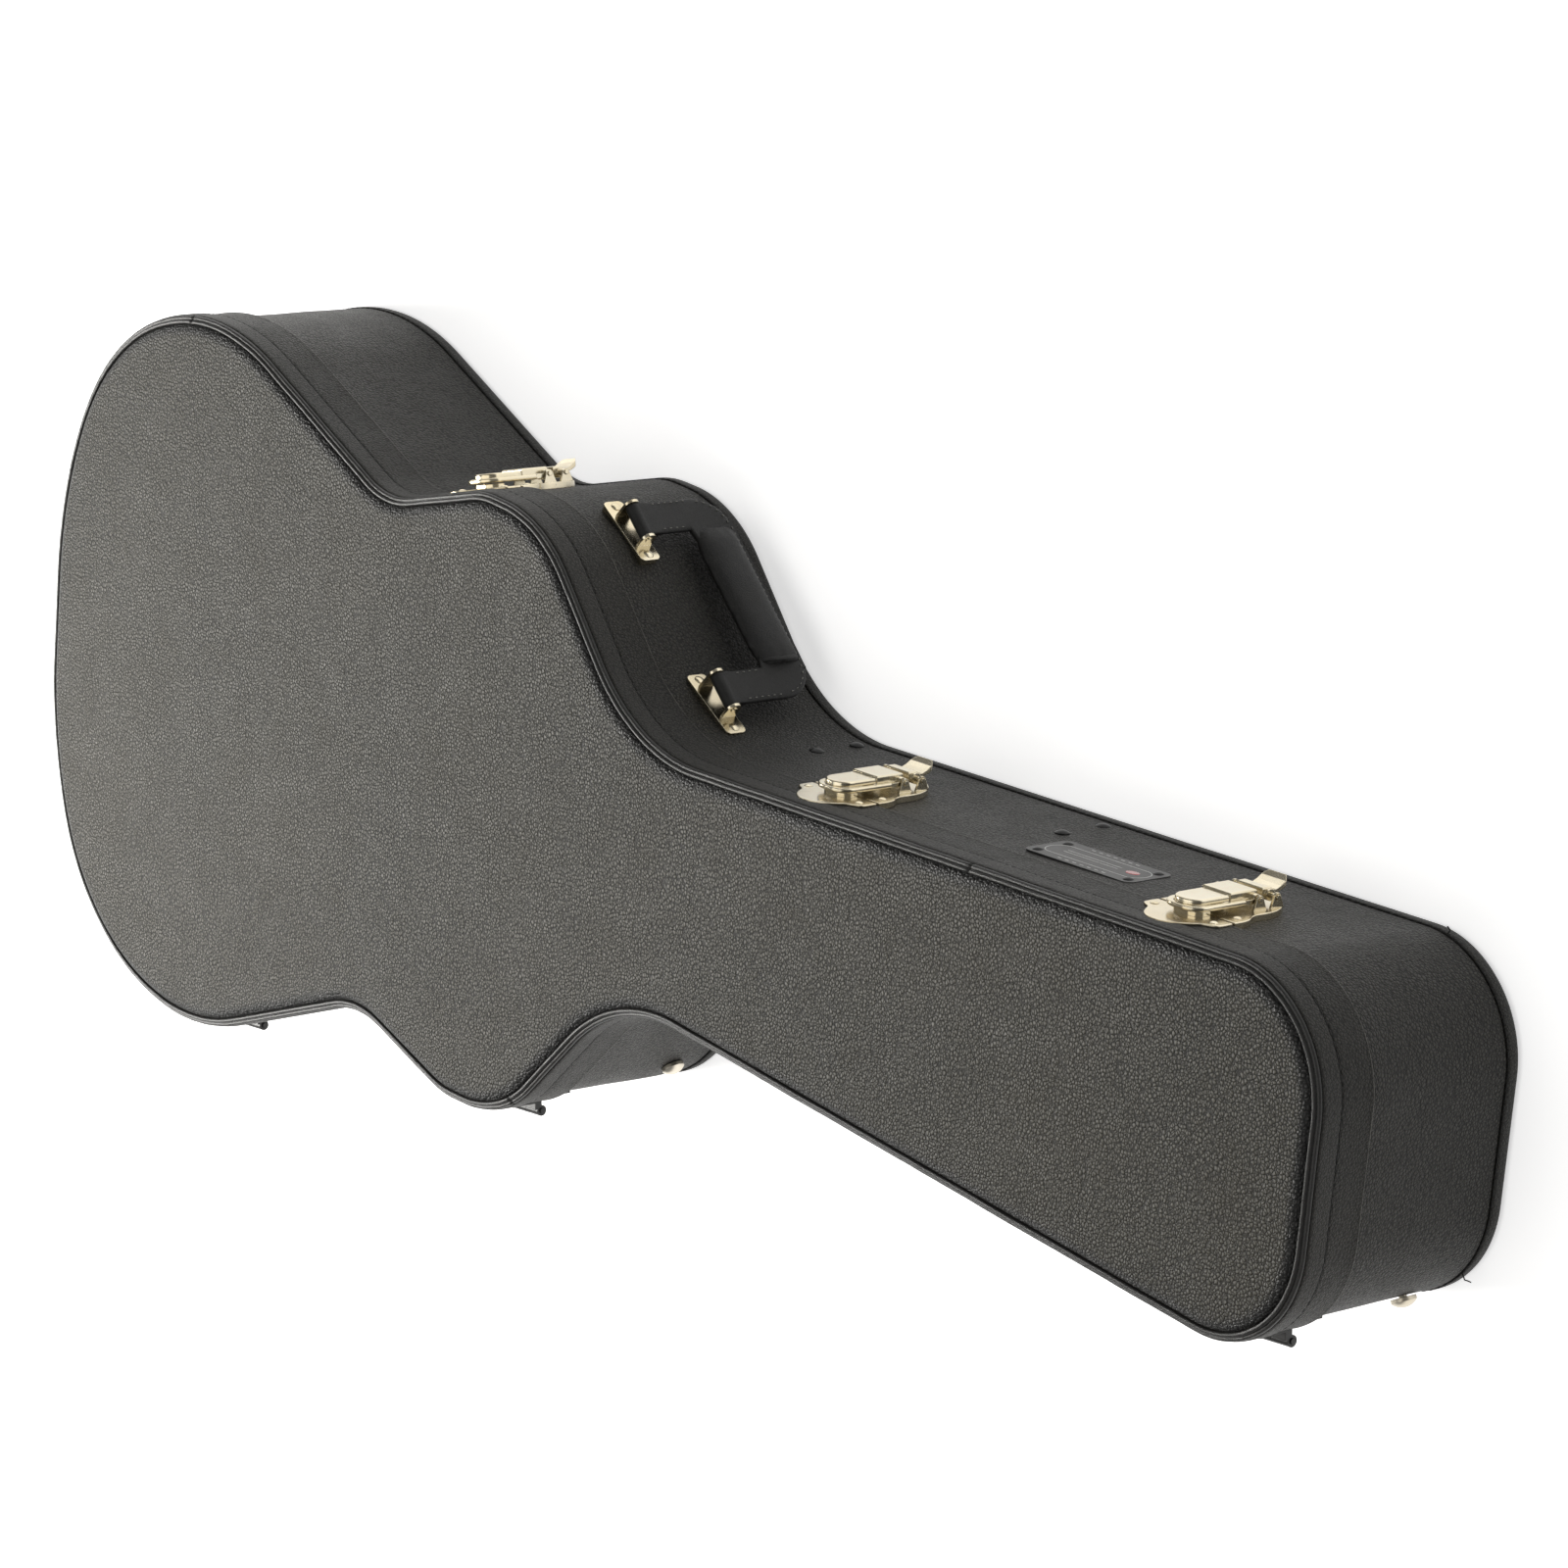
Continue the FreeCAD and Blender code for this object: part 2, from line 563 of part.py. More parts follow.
def latch_parts():
    keeper = soften(shield(True, 0, lp), 0.5, at_w(lp))
    # keeper boss: low block that the bail's end passes over
    boss = slot_shape(10.5, P + 0.8, P + 9.4, lp - 0.01, 3.6, 7.0)
    boss = soften(boss, 0.6, at_w(3.6))
    keeper = keeper.fuse(boss).removeSplitter()
    base = soften(shield(False, 0, lp), 0.5, at_w(lp))
    # cheeks: a pair of small ears each side, folded up from the base plate
    for v0 in (-15.4, 14.0):
        for z0 in (BAIL_Z, LEV_Z):
            ear_pts = [(lp - 0.2, z0 - 4.3), (BAIL_W - 0.6, z0 - 2.5), (BAIL_W + 1.2, z0 - 1.9),
                       (BAIL_W + 2.2, z0 - 0.7), (BAIL_W + 2.2, z0 + 0.7), (BAIL_W + 1.2, z0 + 1.9),
                       (BAIL_W - 0.6, z0 + 2.5), (lp - 0.2, z0 + 4.3)]
            base = base.fuse(side_prism(ear_pts, v0, v0 + 1.4))
    for z in (BAIL_Z, LEV_Z):
        base = base.cut(Part.makeCylinder(lr, 60, Vector(-30, BAIL_W, z), Vector(1, 0, 0)))
    base = base.removeSplitter()
    # bail: flat rounded loop, with the cap plate that rides on it
    z_top = P + 13.2
    outer = slot_shape(13.2, BAIL_Z - 3.0, z_top, 4.0, 6.6, 10.0)
    inner_ = slot_shape(9.9, BAIL_Z + 4.2, z_top - 3.3, 3.0, 7.6, 7.0)
    loop = outer.cut(inner_)
    loop = soften(loop, 0.9, lambda e: at_w(6.6)(e) or at_w(4.0)(e))
    cap = slot_shape(9.4, P - 13.0, P + 10.6, 6.4, 9.3, 8.4)
    cap = soften(cap, 1.1, at_w(9.3))
    mid = Part.makeBox(20.0, 4.0, (P - 12.6) - (BAIL_Z - 2.4), Vector(-10.0, 6.4, BAIL_Z - 2.4))
    mid = soften(mid, 0.9, at_w(10.4))
    barrel_ = Part.makeCylinder(2.6, 26.4, Vector(-13.2, BAIL_W, BAIL_Z), Vector(1, 0, 0))
    bridge = Part.makeBox(26.4, 2.6, 7.5, Vector(-13.2, 4.0, BAIL_Z - 2.6 + 2.6))
    bail = loop.fuse([cap, mid, barrel_, bridge])
    bail = bail.cut(Part.makeCylinder(lr + lfit, 60, Vector(-30, BAIL_W, BAIL_Z), Vector(1, 0, 0)))
    bail = bail.removeSplitter()
    # lever: knuckle round its pin, tongue and curled-up thumb tab
    kn = Part.makeCylinder(3.0, 21.0, Vector(-10.5, LEV_W, LEV_Z), Vector(1, 0, 0))
    kp = Part.makeBox(18.0, 4.6, 5.6, Vector(-9.0, LEV_W - 0.8, LEV_Z - 1.2))
    kp = soften(kp, 1.0, at_w(LEV_W + 3.8))
    prof = [(LEV_W - 1.0, LEV_Z - 1.0), (LEV_W + 2.2, LEV_Z + 0.5), (LEV_W + 1.8, LEV_Z - 5.5),
            (LEV_W + 3.1, LEV_Z - 8.6), (LEV_W + 5.0, LEV_Z - 11.6), (LEV_W + 7.3, LEV_Z - 14.2),
            (LEV_W + 6.0, LEV_Z - 15.6), (LEV_W + 3.2, LEV_Z - 12.8), (LEV_W + 1.2, LEV_Z - 9.6),
            (LEV_W - 0.2, LEV_Z - 6.0)]
    tongue = side_prism(prof, -8.4, 8.4)
    tabcut = Part.makeCylinder(11.0, 60, Vector(0, -20, LEV_Z - 4.8), Vector(0, 1, 0))
    tongue = tongue.common(tabcut)
    lever = kn.fuse([kp, tongue])
    lever = lever.cut(Part.makeCylinder(lr + lfit, 60, Vector(-30, LEV_W, LEV_Z), Vector(1, 0, 0)))
    lever = lever.removeSplitter()
    pins_ = [Part.makeCylinder(lr, 32.4, Vector(-16.2, BAIL_W, z), Vector(1, 0, 0))
             for z in (BAIL_Z, LEV_Z)]
    return keeper, base, bail, lever, pins_


keeper, lbase, bail, lever, lpins = latch_parts()
all_pins, riv_lid, riv_base = [], [], []
for i, (c, n) in enumerate(LATCHES, start=1):
    off = n * 0.1
    lid_c = c + off
    # both plates lie in one plane, flush on the lid band; a packing strip
    # under the base plate takes up the step down to the base wall
    feature("latch%d_keeper" % i, place(keeper, lid_c, n))
    packing = shield(False, -BI, 0.0)
    feature("latch%d_base_plate" % i, place(lbase.fuse(packing).removeSplitter(), lid_c, n))
    feature("latch%d_bail" % i, place(bail, lid_c, n))
    feature("latch%d_lever" % i, place(lever, lid_c, n))
    all_pins += [place(p, lid_c, n) for p in lpins]
    for v, z in ((20.6, P + 8.0), (-20.6, P + 8.0)):
        riv_lid.append(place(rivet(Vector(v, lp, z), Vector(0, 1, 0), 2.4, 0.9, 1.2, 3.4), lid_c, n))
    for v, z in ((20.0, P - 8.0), (-20.0, P - 8.0), (0.0, P - 47.5)):
        riv_base.append(place(rivet(Vector(v, lp, z), Vector(0, 1, 0), 2.4, 0.9, 1.2, 5.0), lid_c, n))
compound("latch_pins", all_pins)
compound("latch_lid_rivets", riv_lid)
compound("latch_base_rivets", riv_base)

# ------------------------------------------------------------------- handle
h1 = Vector(60.9, -161.7, 0)
h2 = Vector(-23.7, -88.1, 0)
he = (h2 - h1).normalize()
hc = (h1 + h2) * 0.5
hout = Vector(he.y, -he.x, 0)
if hout.y > 0:
    hout = hout * -1
hz, ho, hh = size("handle_pin_z"), size("handle_out"), size("handle_half")
hpr = size("handle_pin_r")
sw, st = size("strap_wide"), size("strap_thick")


def place_h(shape):
    """Local (x along the handle, y outwards, z up) to the case."""
    m = FreeCAD.Matrix(he.x, hout.x, 0, hc.x, he.y, hout.y, 0, hc.y, 0, 0, 1, 0, 0, 0, 0, 1)
    s = shape.copy()
    s.transformShape(m)
    return s


plates, ears_pins, hrivets = [], [], []
for px, pc in ((-hh, h1), (hh, h2)):
    # the plate lies on the wall in the wall's own direction
    p, n = wall_point(pc.x, -1, -BI)
    # and high enough for its ends to clear the wall where that curls outwards
    rise = max((wall_point(pc.x + d, -1, -BI)[0] - p).dot(n)
               for d in (-22, -18, -14, -7, 7, 14, 18, 22))
    lift = n * min(2.4, max(1.0, rise + 0.3))
    plate = Part.makeBox(46, 1.5, 13, Vector(-23, 0.0, hz - 5.0))
    plate = soften(plate, 3.0, lambda e: abs(e.BoundBox.YMax - e.BoundBox.YMin - 1.5) < 0.01)
    body = place(plate, p + lift, n)
    pack = place(Part.makeBox(43, 14, 11, Vector(-21.5, -13.0, hz - 4.0)), p + lift, n)
    pack = pack.cut(slab(-BI + 0.02, hz - 20, hz + 20))
    ears = []
    for sgn in (-1, 1):
        ex = px + sgn * (sw / 2 + 1.0)
        ear = Part.makeBox(1.6, ho + 14.0, 9.0, Vector(ex - 0.8, -14.0, hz - 4.5))
        tip = Part.makeCylinder(4.5, 1.6, Vector(ex - 0.8, ho, hz), Vector(1, 0, 0))
        ear = ear.fuse(tip).cut(Part.makeCylinder(hpr, 40, Vector(ex - 20, ho, hz), Vector(1, 0, 0)))
        ears.append(place_h(ear))
    body = body.fuse([pack] + ears).cut(slab(-BI + 0.02, hz - 20, hz + 20)).removeSplitter()
    plates.append(body)
    ears_pins.append(place_h(Part.makeCylinder(hpr, sw + 4.8, Vector(px - (sw + 4.8) / 2, ho, hz),
                                               Vector(1, 0, 0))))
    for v in (-18.6, 18.6):
        hrivets.append(place(rivet(Vector(v, 1.5, hz + 1.2), Vector(0, 1, 0), 3.0, 1.2, 1.4, 3.5),
                             p + lift, n))
compound("handle_plates", plates)
compound("handle_pins", ears_pins)
compound("handle_rivets", hrivets)

bottom = hz - size("handle_drop")
for k, px in ((1, -hh), (2, hh)):
    loop_ = Part.makeCylinder(4.2, sw, Vector(px - sw / 2, ho, hz), Vector(1, 0, 0))
    tail = Part.makeBox(sw, st, hz - bottom - 2.0, Vector(px - sw / 2, ho - 0.2, bottom + 2.0))
    strap = loop_.fuse(tail).cut(Part.makeCylinder(hpr + 0.08, 60, Vector(px - 30, ho, hz),
                                                   Vector(1, 0, 0)))
    feature("handle_strap_%d" % k, place_h(strap.removeSplitter()))
gl = 2 * hh - sw - 0.4
grip = Part.makeBox(gl, size("grip_deep"), size("grip_high"),
                    Vector(-gl / 2, ho - 6.0, bottom))
grip = soften(grip, 6.5, lambda e: e.BoundBox.XMax - e.BoundBox.XMin > 20)
feature("handle_grip", place_h(grip))

# --------------------------------------------------------- badge and studs
bx, bz = size("badge_x"), size("badge_z")
p, n = wall_point(bx, -1, -BI)
bl, bh, bt = size("badge_long"), size("badge_high"), size("badge_thick")
badge = Part.makeBox(bl, bt, bh, Vector(-bl / 2, 0.05, bz - bh / 2))
badge = soften(badge, 5.0, lambda e: abs(e.BoundBox.YMax - e.BoundBox.YMin - bt) < 0.01)
feature("badge_plate", place(badge, p, n))
studs = []
for v in (-33.5, 33.5):
    for z in (-10.2, 10.2):
        studs.append(place(rivet(Vector(v, bt + 0.05, bz + z), Vector(0, 1, 0), 3.0, 1.0, 1.2, 3.0), p, n))
compound("badge_rivets", studs)

studs = []
for x in (size("comp_heel_x"), size("comp_head_x")):
    for z in (18.0, 46.0):
        for side in (-1, 1):
            p, n = wall_point(x, side, -BI)
            studs.append(rivet(Vector(p.x, p.y, z), n, 4.2, 1.5, 1.6, 4.5))
compound("compartment_studs", studs)

# Glides on the hinge side: the case stands on these when it is stored on edge.
glides = []
gr, gh, gz = size("glide_r"), size("glide_high"), size("glide_z")
for x in (385.0, 47.0, -527.0):
    p, n = wall_point(x, 1, -BI)
    base_ = Vector(p.x, p.y, gz) + n * 0.6
    disc = Part.makeCylinder(gr, 2.0, base_ - n * 0.0, n)
    dome = Part.makeSphere((gr ** 2 + (gh - 2) ** 2) / (2 * (gh - 2)),
                           base_ + n * (gh - (gr ** 2 + (gh - 2) ** 2) / (2 * (gh - 2))))
    dome = dome.common(Part.makeCylinder(gr, 20, base_ + n * 1.9, n))
    stem = Part.makeCylinder(2.0, 5.0, base_ - n * 4.5, n)
    glides.append(disc.fuse([dome, stem]).removeSplitter())
compound("side_glides", glides)

# -------------------------------------------------------------------- write
doc.recompute()
for obj in doc.Objects:
    bad = [s for s in obj.State if s in ("Invalid", "Error")]
    if bad:
        raise RuntimeError("%s is in state %s" % (obj.Label, bad))
for obj in nodes:
    shp = obj.Shape
    if shp.isNull() or not shp.isValid() or not shp.Solids:
        raise RuntimeError("sub-part %s has no valid solid" % obj.Label)
os.makedirs("parts", exist_ok=True)
for name in os.listdir("parts"):
    if name.endswith(".step"):
        os.remove(os.path.join("parts", name))
for obj in nodes:
    obj.Shape.exportStep(os.path.join("parts", obj.Label + ".step"))
    bb = obj.Shape.BoundBox
    print("%-26s solids %2d vol %10.0f  x %.1f %.1f  y %.1f %.1f  z %.1f %.1f" % (
        obj.Label, len(obj.Shape.Solids), obj.Shape.Volume, bb.XMin, bb.XMax,
        bb.YMin, bb.YMax, bb.ZMin, bb.ZMax))
print(len(nodes), "nodes")
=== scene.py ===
import bpy, bmesh, math, random
import numpy as np
from mathutils import Vector, Matrix, noise
from mathutils.geometry import delaunay_2d_cdt


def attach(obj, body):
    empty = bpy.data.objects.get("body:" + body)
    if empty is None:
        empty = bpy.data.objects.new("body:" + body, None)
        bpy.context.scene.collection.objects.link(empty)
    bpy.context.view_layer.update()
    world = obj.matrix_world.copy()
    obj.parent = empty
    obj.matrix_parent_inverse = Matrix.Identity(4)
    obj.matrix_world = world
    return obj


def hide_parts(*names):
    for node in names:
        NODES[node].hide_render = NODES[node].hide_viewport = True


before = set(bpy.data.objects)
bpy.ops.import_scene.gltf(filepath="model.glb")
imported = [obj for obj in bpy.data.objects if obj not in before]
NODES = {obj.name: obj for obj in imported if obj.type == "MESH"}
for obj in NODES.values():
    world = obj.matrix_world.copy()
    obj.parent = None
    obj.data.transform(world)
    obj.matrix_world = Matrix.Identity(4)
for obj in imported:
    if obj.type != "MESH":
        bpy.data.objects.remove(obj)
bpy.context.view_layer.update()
MM = 0.001

scene = bpy.context.scene
scene.view_settings.view_transform = "Standard"
scene.view_settings.look = "None"
scene.view_settings.exposure = 0.0
scene.view_settings.gamma = 1.0

# ------------------------------------------------------------ dimensions, mm
CORNERS = [(559.0, 74.84, 257.0), (514.47, 184.37, 146.5), (391.97, 226.12, 162.5),
           (210.57, 150.05, 63.42), (121.04, 175.72, 66.97), (64.73, 173.68, 85.76),
           (-31.96, 69.49, 111.39), (-559.0, 97.77, 61.89)]
PART = 100.8
LID_TOP = 140.0
BI = 2.5


# ------------------------------------------------------------------- outline
def outline(step=4.0, arc_step=3.0):
    """Points (x, y, nx, ny) round the lid outline, mm, counter-clockwise,
    with outward normals; an offset outline is point + normal * offset."""
    pts = CORNERS + [(x, -y, r) for x, y, r in reversed(CORNERS)]
    n = len(pts)
    out = []
    arcs = []
    for i in range(n):
        a, b, c = (Vector(pts[i - 1][:2]), Vector(pts[i][:2]), Vector(pts[(i + 1) % n][:2]))
        r = pts[i][2]
        u = (a - b).normalized()
        w = (c - b).normalized()
        ang = math.acos(max(-1, min(1, u.dot(w))))
        t = r / math.tan(ang / 2)
        cen = b + (u + w).normalized() * (r / math.sin(ang / 2))
        p0, p1 = b + u * t, b + w * t
        cross = (b - a).x * (c - b).y - (b - a).y * (c - b).x
        arcs.append((p0, p1, cen, r, cross > 0))
    for i in range(n):
        p0, p1, cen, r, convex = arcs[i]
        a0 = math.atan2(p0.y - cen.y, p0.x - cen.x)
        a1 = math.atan2(p1.y - cen.y, p1.x - cen.x)
        d = (a1 - a0 + math.pi) % (2 * math.pi) - math.pi
        k = max(3, int(abs(d) * r / arc_step))
        for j in range(k + 1):
            a = a0 + d * j / k
            nx, ny = math.cos(a), math.sin(a)
            if not convex:
                nx, ny = -nx, -ny
            out.append((cen.x + r * math.cos(a), cen.y + r * math.sin(a), nx, ny))
        q0, q1 = p1, arcs[(i + 1) % n][0]
        L = (q1 - q0).length
        if L > step:
            dd = (q1 - q0) / L
            nx, ny = dd.y, -dd.x
            k = int(L / step)
            for j in range(1, k):
                q = q0 + dd * (L * j / k)
                out.append((q.x, q.y, nx, ny))
    clean = []
    for p in out:
        if not clean or math.hypot(p[0] - clean[-1][0], p[1] - clean[-1][1]) > 0.4:
            clean.append(p)
    if math.hypot(clean[0][0] - clean[-1][0], clean[0][1] - clean[-1][1]) < 0.4:
        clean.pop()
    return clean


OUT = outline()
ARC = [0.0]
for i in range(1, len(OUT) + 1):
    a, b = OUT[i - 1], OUT[i % len(OUT)]
    ARC.append(ARC[-1] + math.hypot(a[0] - b[0], a[1] - b[1]))
PERIM = ARC[-1]


def at_arc(s):
    """Outline point and normal at arc length s (mm)."""
    s = s % PERIM
    import bisect
    i = min(len(OUT) - 1, bisect.bisect_right(ARC, s) - 1)
    f = (s - ARC[i]) / max(1e-9, ARC[i + 1] - ARC[i])
    a, b = OUT[i], OUT[(i + 1) % len(OUT)]
    p = [a[k] + (b[k] - a[k]) * f for k in range(4)]
    l = math.hypot(p[2], p[3])
    return p[0], p[1], p[2] / l, p[3] / l


def wall_at(x, side):
    """Outline point and outward normal at x (mm) on the +1 or -1 side."""
    best = None
    for i in range(len(OUT)):
        a, b = OUT[i], OUT[(i + 1) % len(OUT)]
        if (a[0] - x) * (b[0] - x) <= 0 and a[0] != b[0]:
            f = (x - a[0]) / (b[0] - a[0])
            y = a[1] + (b[1] - a[1]) * f
            if y * side > 0:
                nx = a[2] + (b[2] - a[2]) * f
                ny = a[3] + (b[3] - a[3]) * f
                l = math.hypot(nx, ny)
                best = (x, y, nx / l, ny / l, ARC[i] + f * (ARC[i + 1] - ARC[i]))
    return best


# ------------------------------------------------------------- mesh helpers
def new_object(name, verts, faces, smooth=True, mat=None, uvs=None):
    me = bpy.data.meshes.new(name)
    me.from_pydata([tuple(v) for v in verts], [], faces)
    me.validate()
    me.update()
    ob = bpy.data.objects.new(name, me)
    scene.collection.objects.link(ob)
    if smooth:
        me.polygons.foreach_set("use_smooth", [True] * len(me.polygons))
    if mat:
        me.materials.append(mat)
    if uvs is not None:
        layer = me.uv_layers.new(name="uv")
        for lp in me.loops:
            layer.data[lp.index].uv = uvs[lp.vertex_index]
    return ob


def sweep(name, profile, mat, start=0.0, wob=None, closed_profile=False, pts=None, flip=False):
    """Skin swept round the outline: profile is a list of (offset, z) in mm."""
    pts = pts or OUT
    verts, faces = [], []
    m = len(profile)
    for i, (x, y, nx, ny) in enumerate(pts):
        for j, (o, z) in enumerate(profile):
            dz = do = 0.0
            if wob:
                do, dz = wob(i, j, x, y, o, z)
            verts.append(((x + nx * (o + do)) * MM, (y + ny * (o + do)) * MM, (z + dz) * MM))
    n = len(pts)
    for i in range(n):
        i2 = (i + 1) % n
        for j in range(m if closed_profile else m - 1):
            j2 = (j + 1) % m
            f = (i * m + j, i2 * m + j, i2 * m + j2, i * m + j2)
            faces.append(f[::-1] if flip else f)
    return new_object(name, verts, faces, mat=mat)


def shade_auto(ob, angle=35.0):
    """Sharp edges where the surface turns by more than angle."""
    bm = bmesh.new()
    bm.from_mesh(ob.data)
    for e in bm.edges:
        if len(e.link_faces) == 2:
            e.smooth = e.calc_face_angle(0.0) < math.radians(angle)
    bm.to_mesh(ob.data)
    bm.free()


def apply_mods(ob):
    dg = bpy.context.evaluated_depsgraph_get()
    me = bpy.data.meshes.new_from_object(ob.evaluated_get(dg))
    old = ob.data
    ob.modifiers.clear()
    ob.data = me
    bpy.data.meshes.remove(old)


def join(name, obs):
    """One object out of several mesh objects with the same materials."""
    bm = bmesh.new()
    mats = []
    for o in obs:
        idx = []
        for m in o.data.materials:
            if m not in mats:
                mats.append(m)
            idx.append(mats.index(m))
        tmp = o.data.copy()
        tmp.transform(o.matrix_world)
        for p in tmp.polygons:
            p.material_index = idx[p.material_index] if idx else 0
        bm.from_mesh(tmp)
        bpy.data.meshes.remove(tmp)
    me = bpy.data.meshes.new(name)
    bm.to_mesh(me)
    bm.free()
    for m in mats:
        me.materials.append(m)
    ob = bpy.data.objects.new(name, me)
    scene.collection.objects.link(ob)
    for o in obs:
        d = o.data
        bpy.data.objects.remove(o)
        bpy.data.meshes.remove(d)
    return ob


def fill_slab(name, off, z_of, rim, z_back, mat, spacing=9.0, down=False):
    """Closed panel filling the outline. Its face is a triangulated grid inside
    the offset outline, with height z_of(distance to its rim, x, y); rim lists
    (offset, z, edge) rings outwards and round to the flat back at z_back."""
    ring = [(x + nx * off, y + ny * off) for x, y, nx, ny in OUT]
    rp = np.array(ring)
    pts = [Vector(p) for p in ring]
    n = len(pts)
    edges = [(i, (i + 1) % n) for i in range(n)]
    a, b = rp, np.roll(rp, -1, 0)
    grid = []
    xs = np.arange(rp[:, 0].min() + 4, rp[:, 0].max(), spacing)
    for ix, x in enumerate(xs):
        for y in np.arange(rp[:, 1].min(), rp[:, 1].max(), spacing):
            yy = y + (spacing / 2 if ix % 2 else 0)
            cond = (a[:, 1] > yy) != (b[:, 1] > yy)
            xi = a[:, 0] + (yy - a[:, 1]) * (b[:, 0] - a[:, 0]) / np.where(cond, b[:, 1] - a[:, 1], 1)
            if (np.sum(cond & (xi > x)) % 2) == 0:
                continue
            d = float(np.min(np.hypot(rp[:, 0] - x, rp[:, 1] - yy)))
            if d > spacing * 0.55:
                grid.append((Vector((x, yy)), d))
    dist = [0.0] * n + [d for _, d in grid]
    res = delaunay_2d_cdt(pts + [g for g, _ in grid], edges, [list(range(n))], 1, 1e-4)
    v2, tris, orig = res[0], [list(f) for f in res[2]], res[3]
    where = {}
    for k, o in enumerate(orig):
        for q in o:
            where[q] = k
    verts, edge = [], []
    for k, v in enumerate(v2):
        d = dist[orig[k][0]] if orig[k] else 0.0
        verts.append((v.x * MM, v.y * MM, z_of(d, v.x, v.y) * MM))
        edge.append(0.10 * math.exp(-d / 6.0))
    faces = list(tris)
    last = [where[i] for i in range(n)]
    for o, z, e in rim:
        cur = []
        for x, y, nx, ny in OUT:
            cur.append(len(verts))
            verts.append(((x + nx * o) * MM, (y + ny * o) * MM, z * MM))
            edge.append(e)
        for i in range(n):
            i2 = (i + 1) % n
            faces.append((last[i], cur[i], cur[i2], last[i2]))
        last = cur
    # back: the same grid, coarse enough to share its ring with the rim
    shift = len(verts)
    remap = {}
    for k, v in enumerate(v2):
        if orig[k] and any(q < n for q in orig[k]):
            q = [q for q in orig[k] if q < n][0]
            remap[k] = last[q]
        else:
            remap[k] = len(verts)
            verts.append((v.x * MM, v.y * MM, z_back * MM))
            edge.append(0.0)
    for f in tris:
        faces.append(tuple(remap[k] for k in reversed(f)))
    ob = new_object(name, verts, faces, mat=mat)
    # the rim weights set where the painted shade on the lid face's rolled edge falls
    att = ob.data.attributes.new("rim", "FLOAT", "POINT")
    att.data.foreach_set("value", edge)
    bm = bmesh.new()
    bm.from_mesh(ob.data)
    bmesh.ops.recalc_face_normals(bm, faces=bm.faces)
    bm.to_mesh(ob.data)
    bm.free()
    return ob


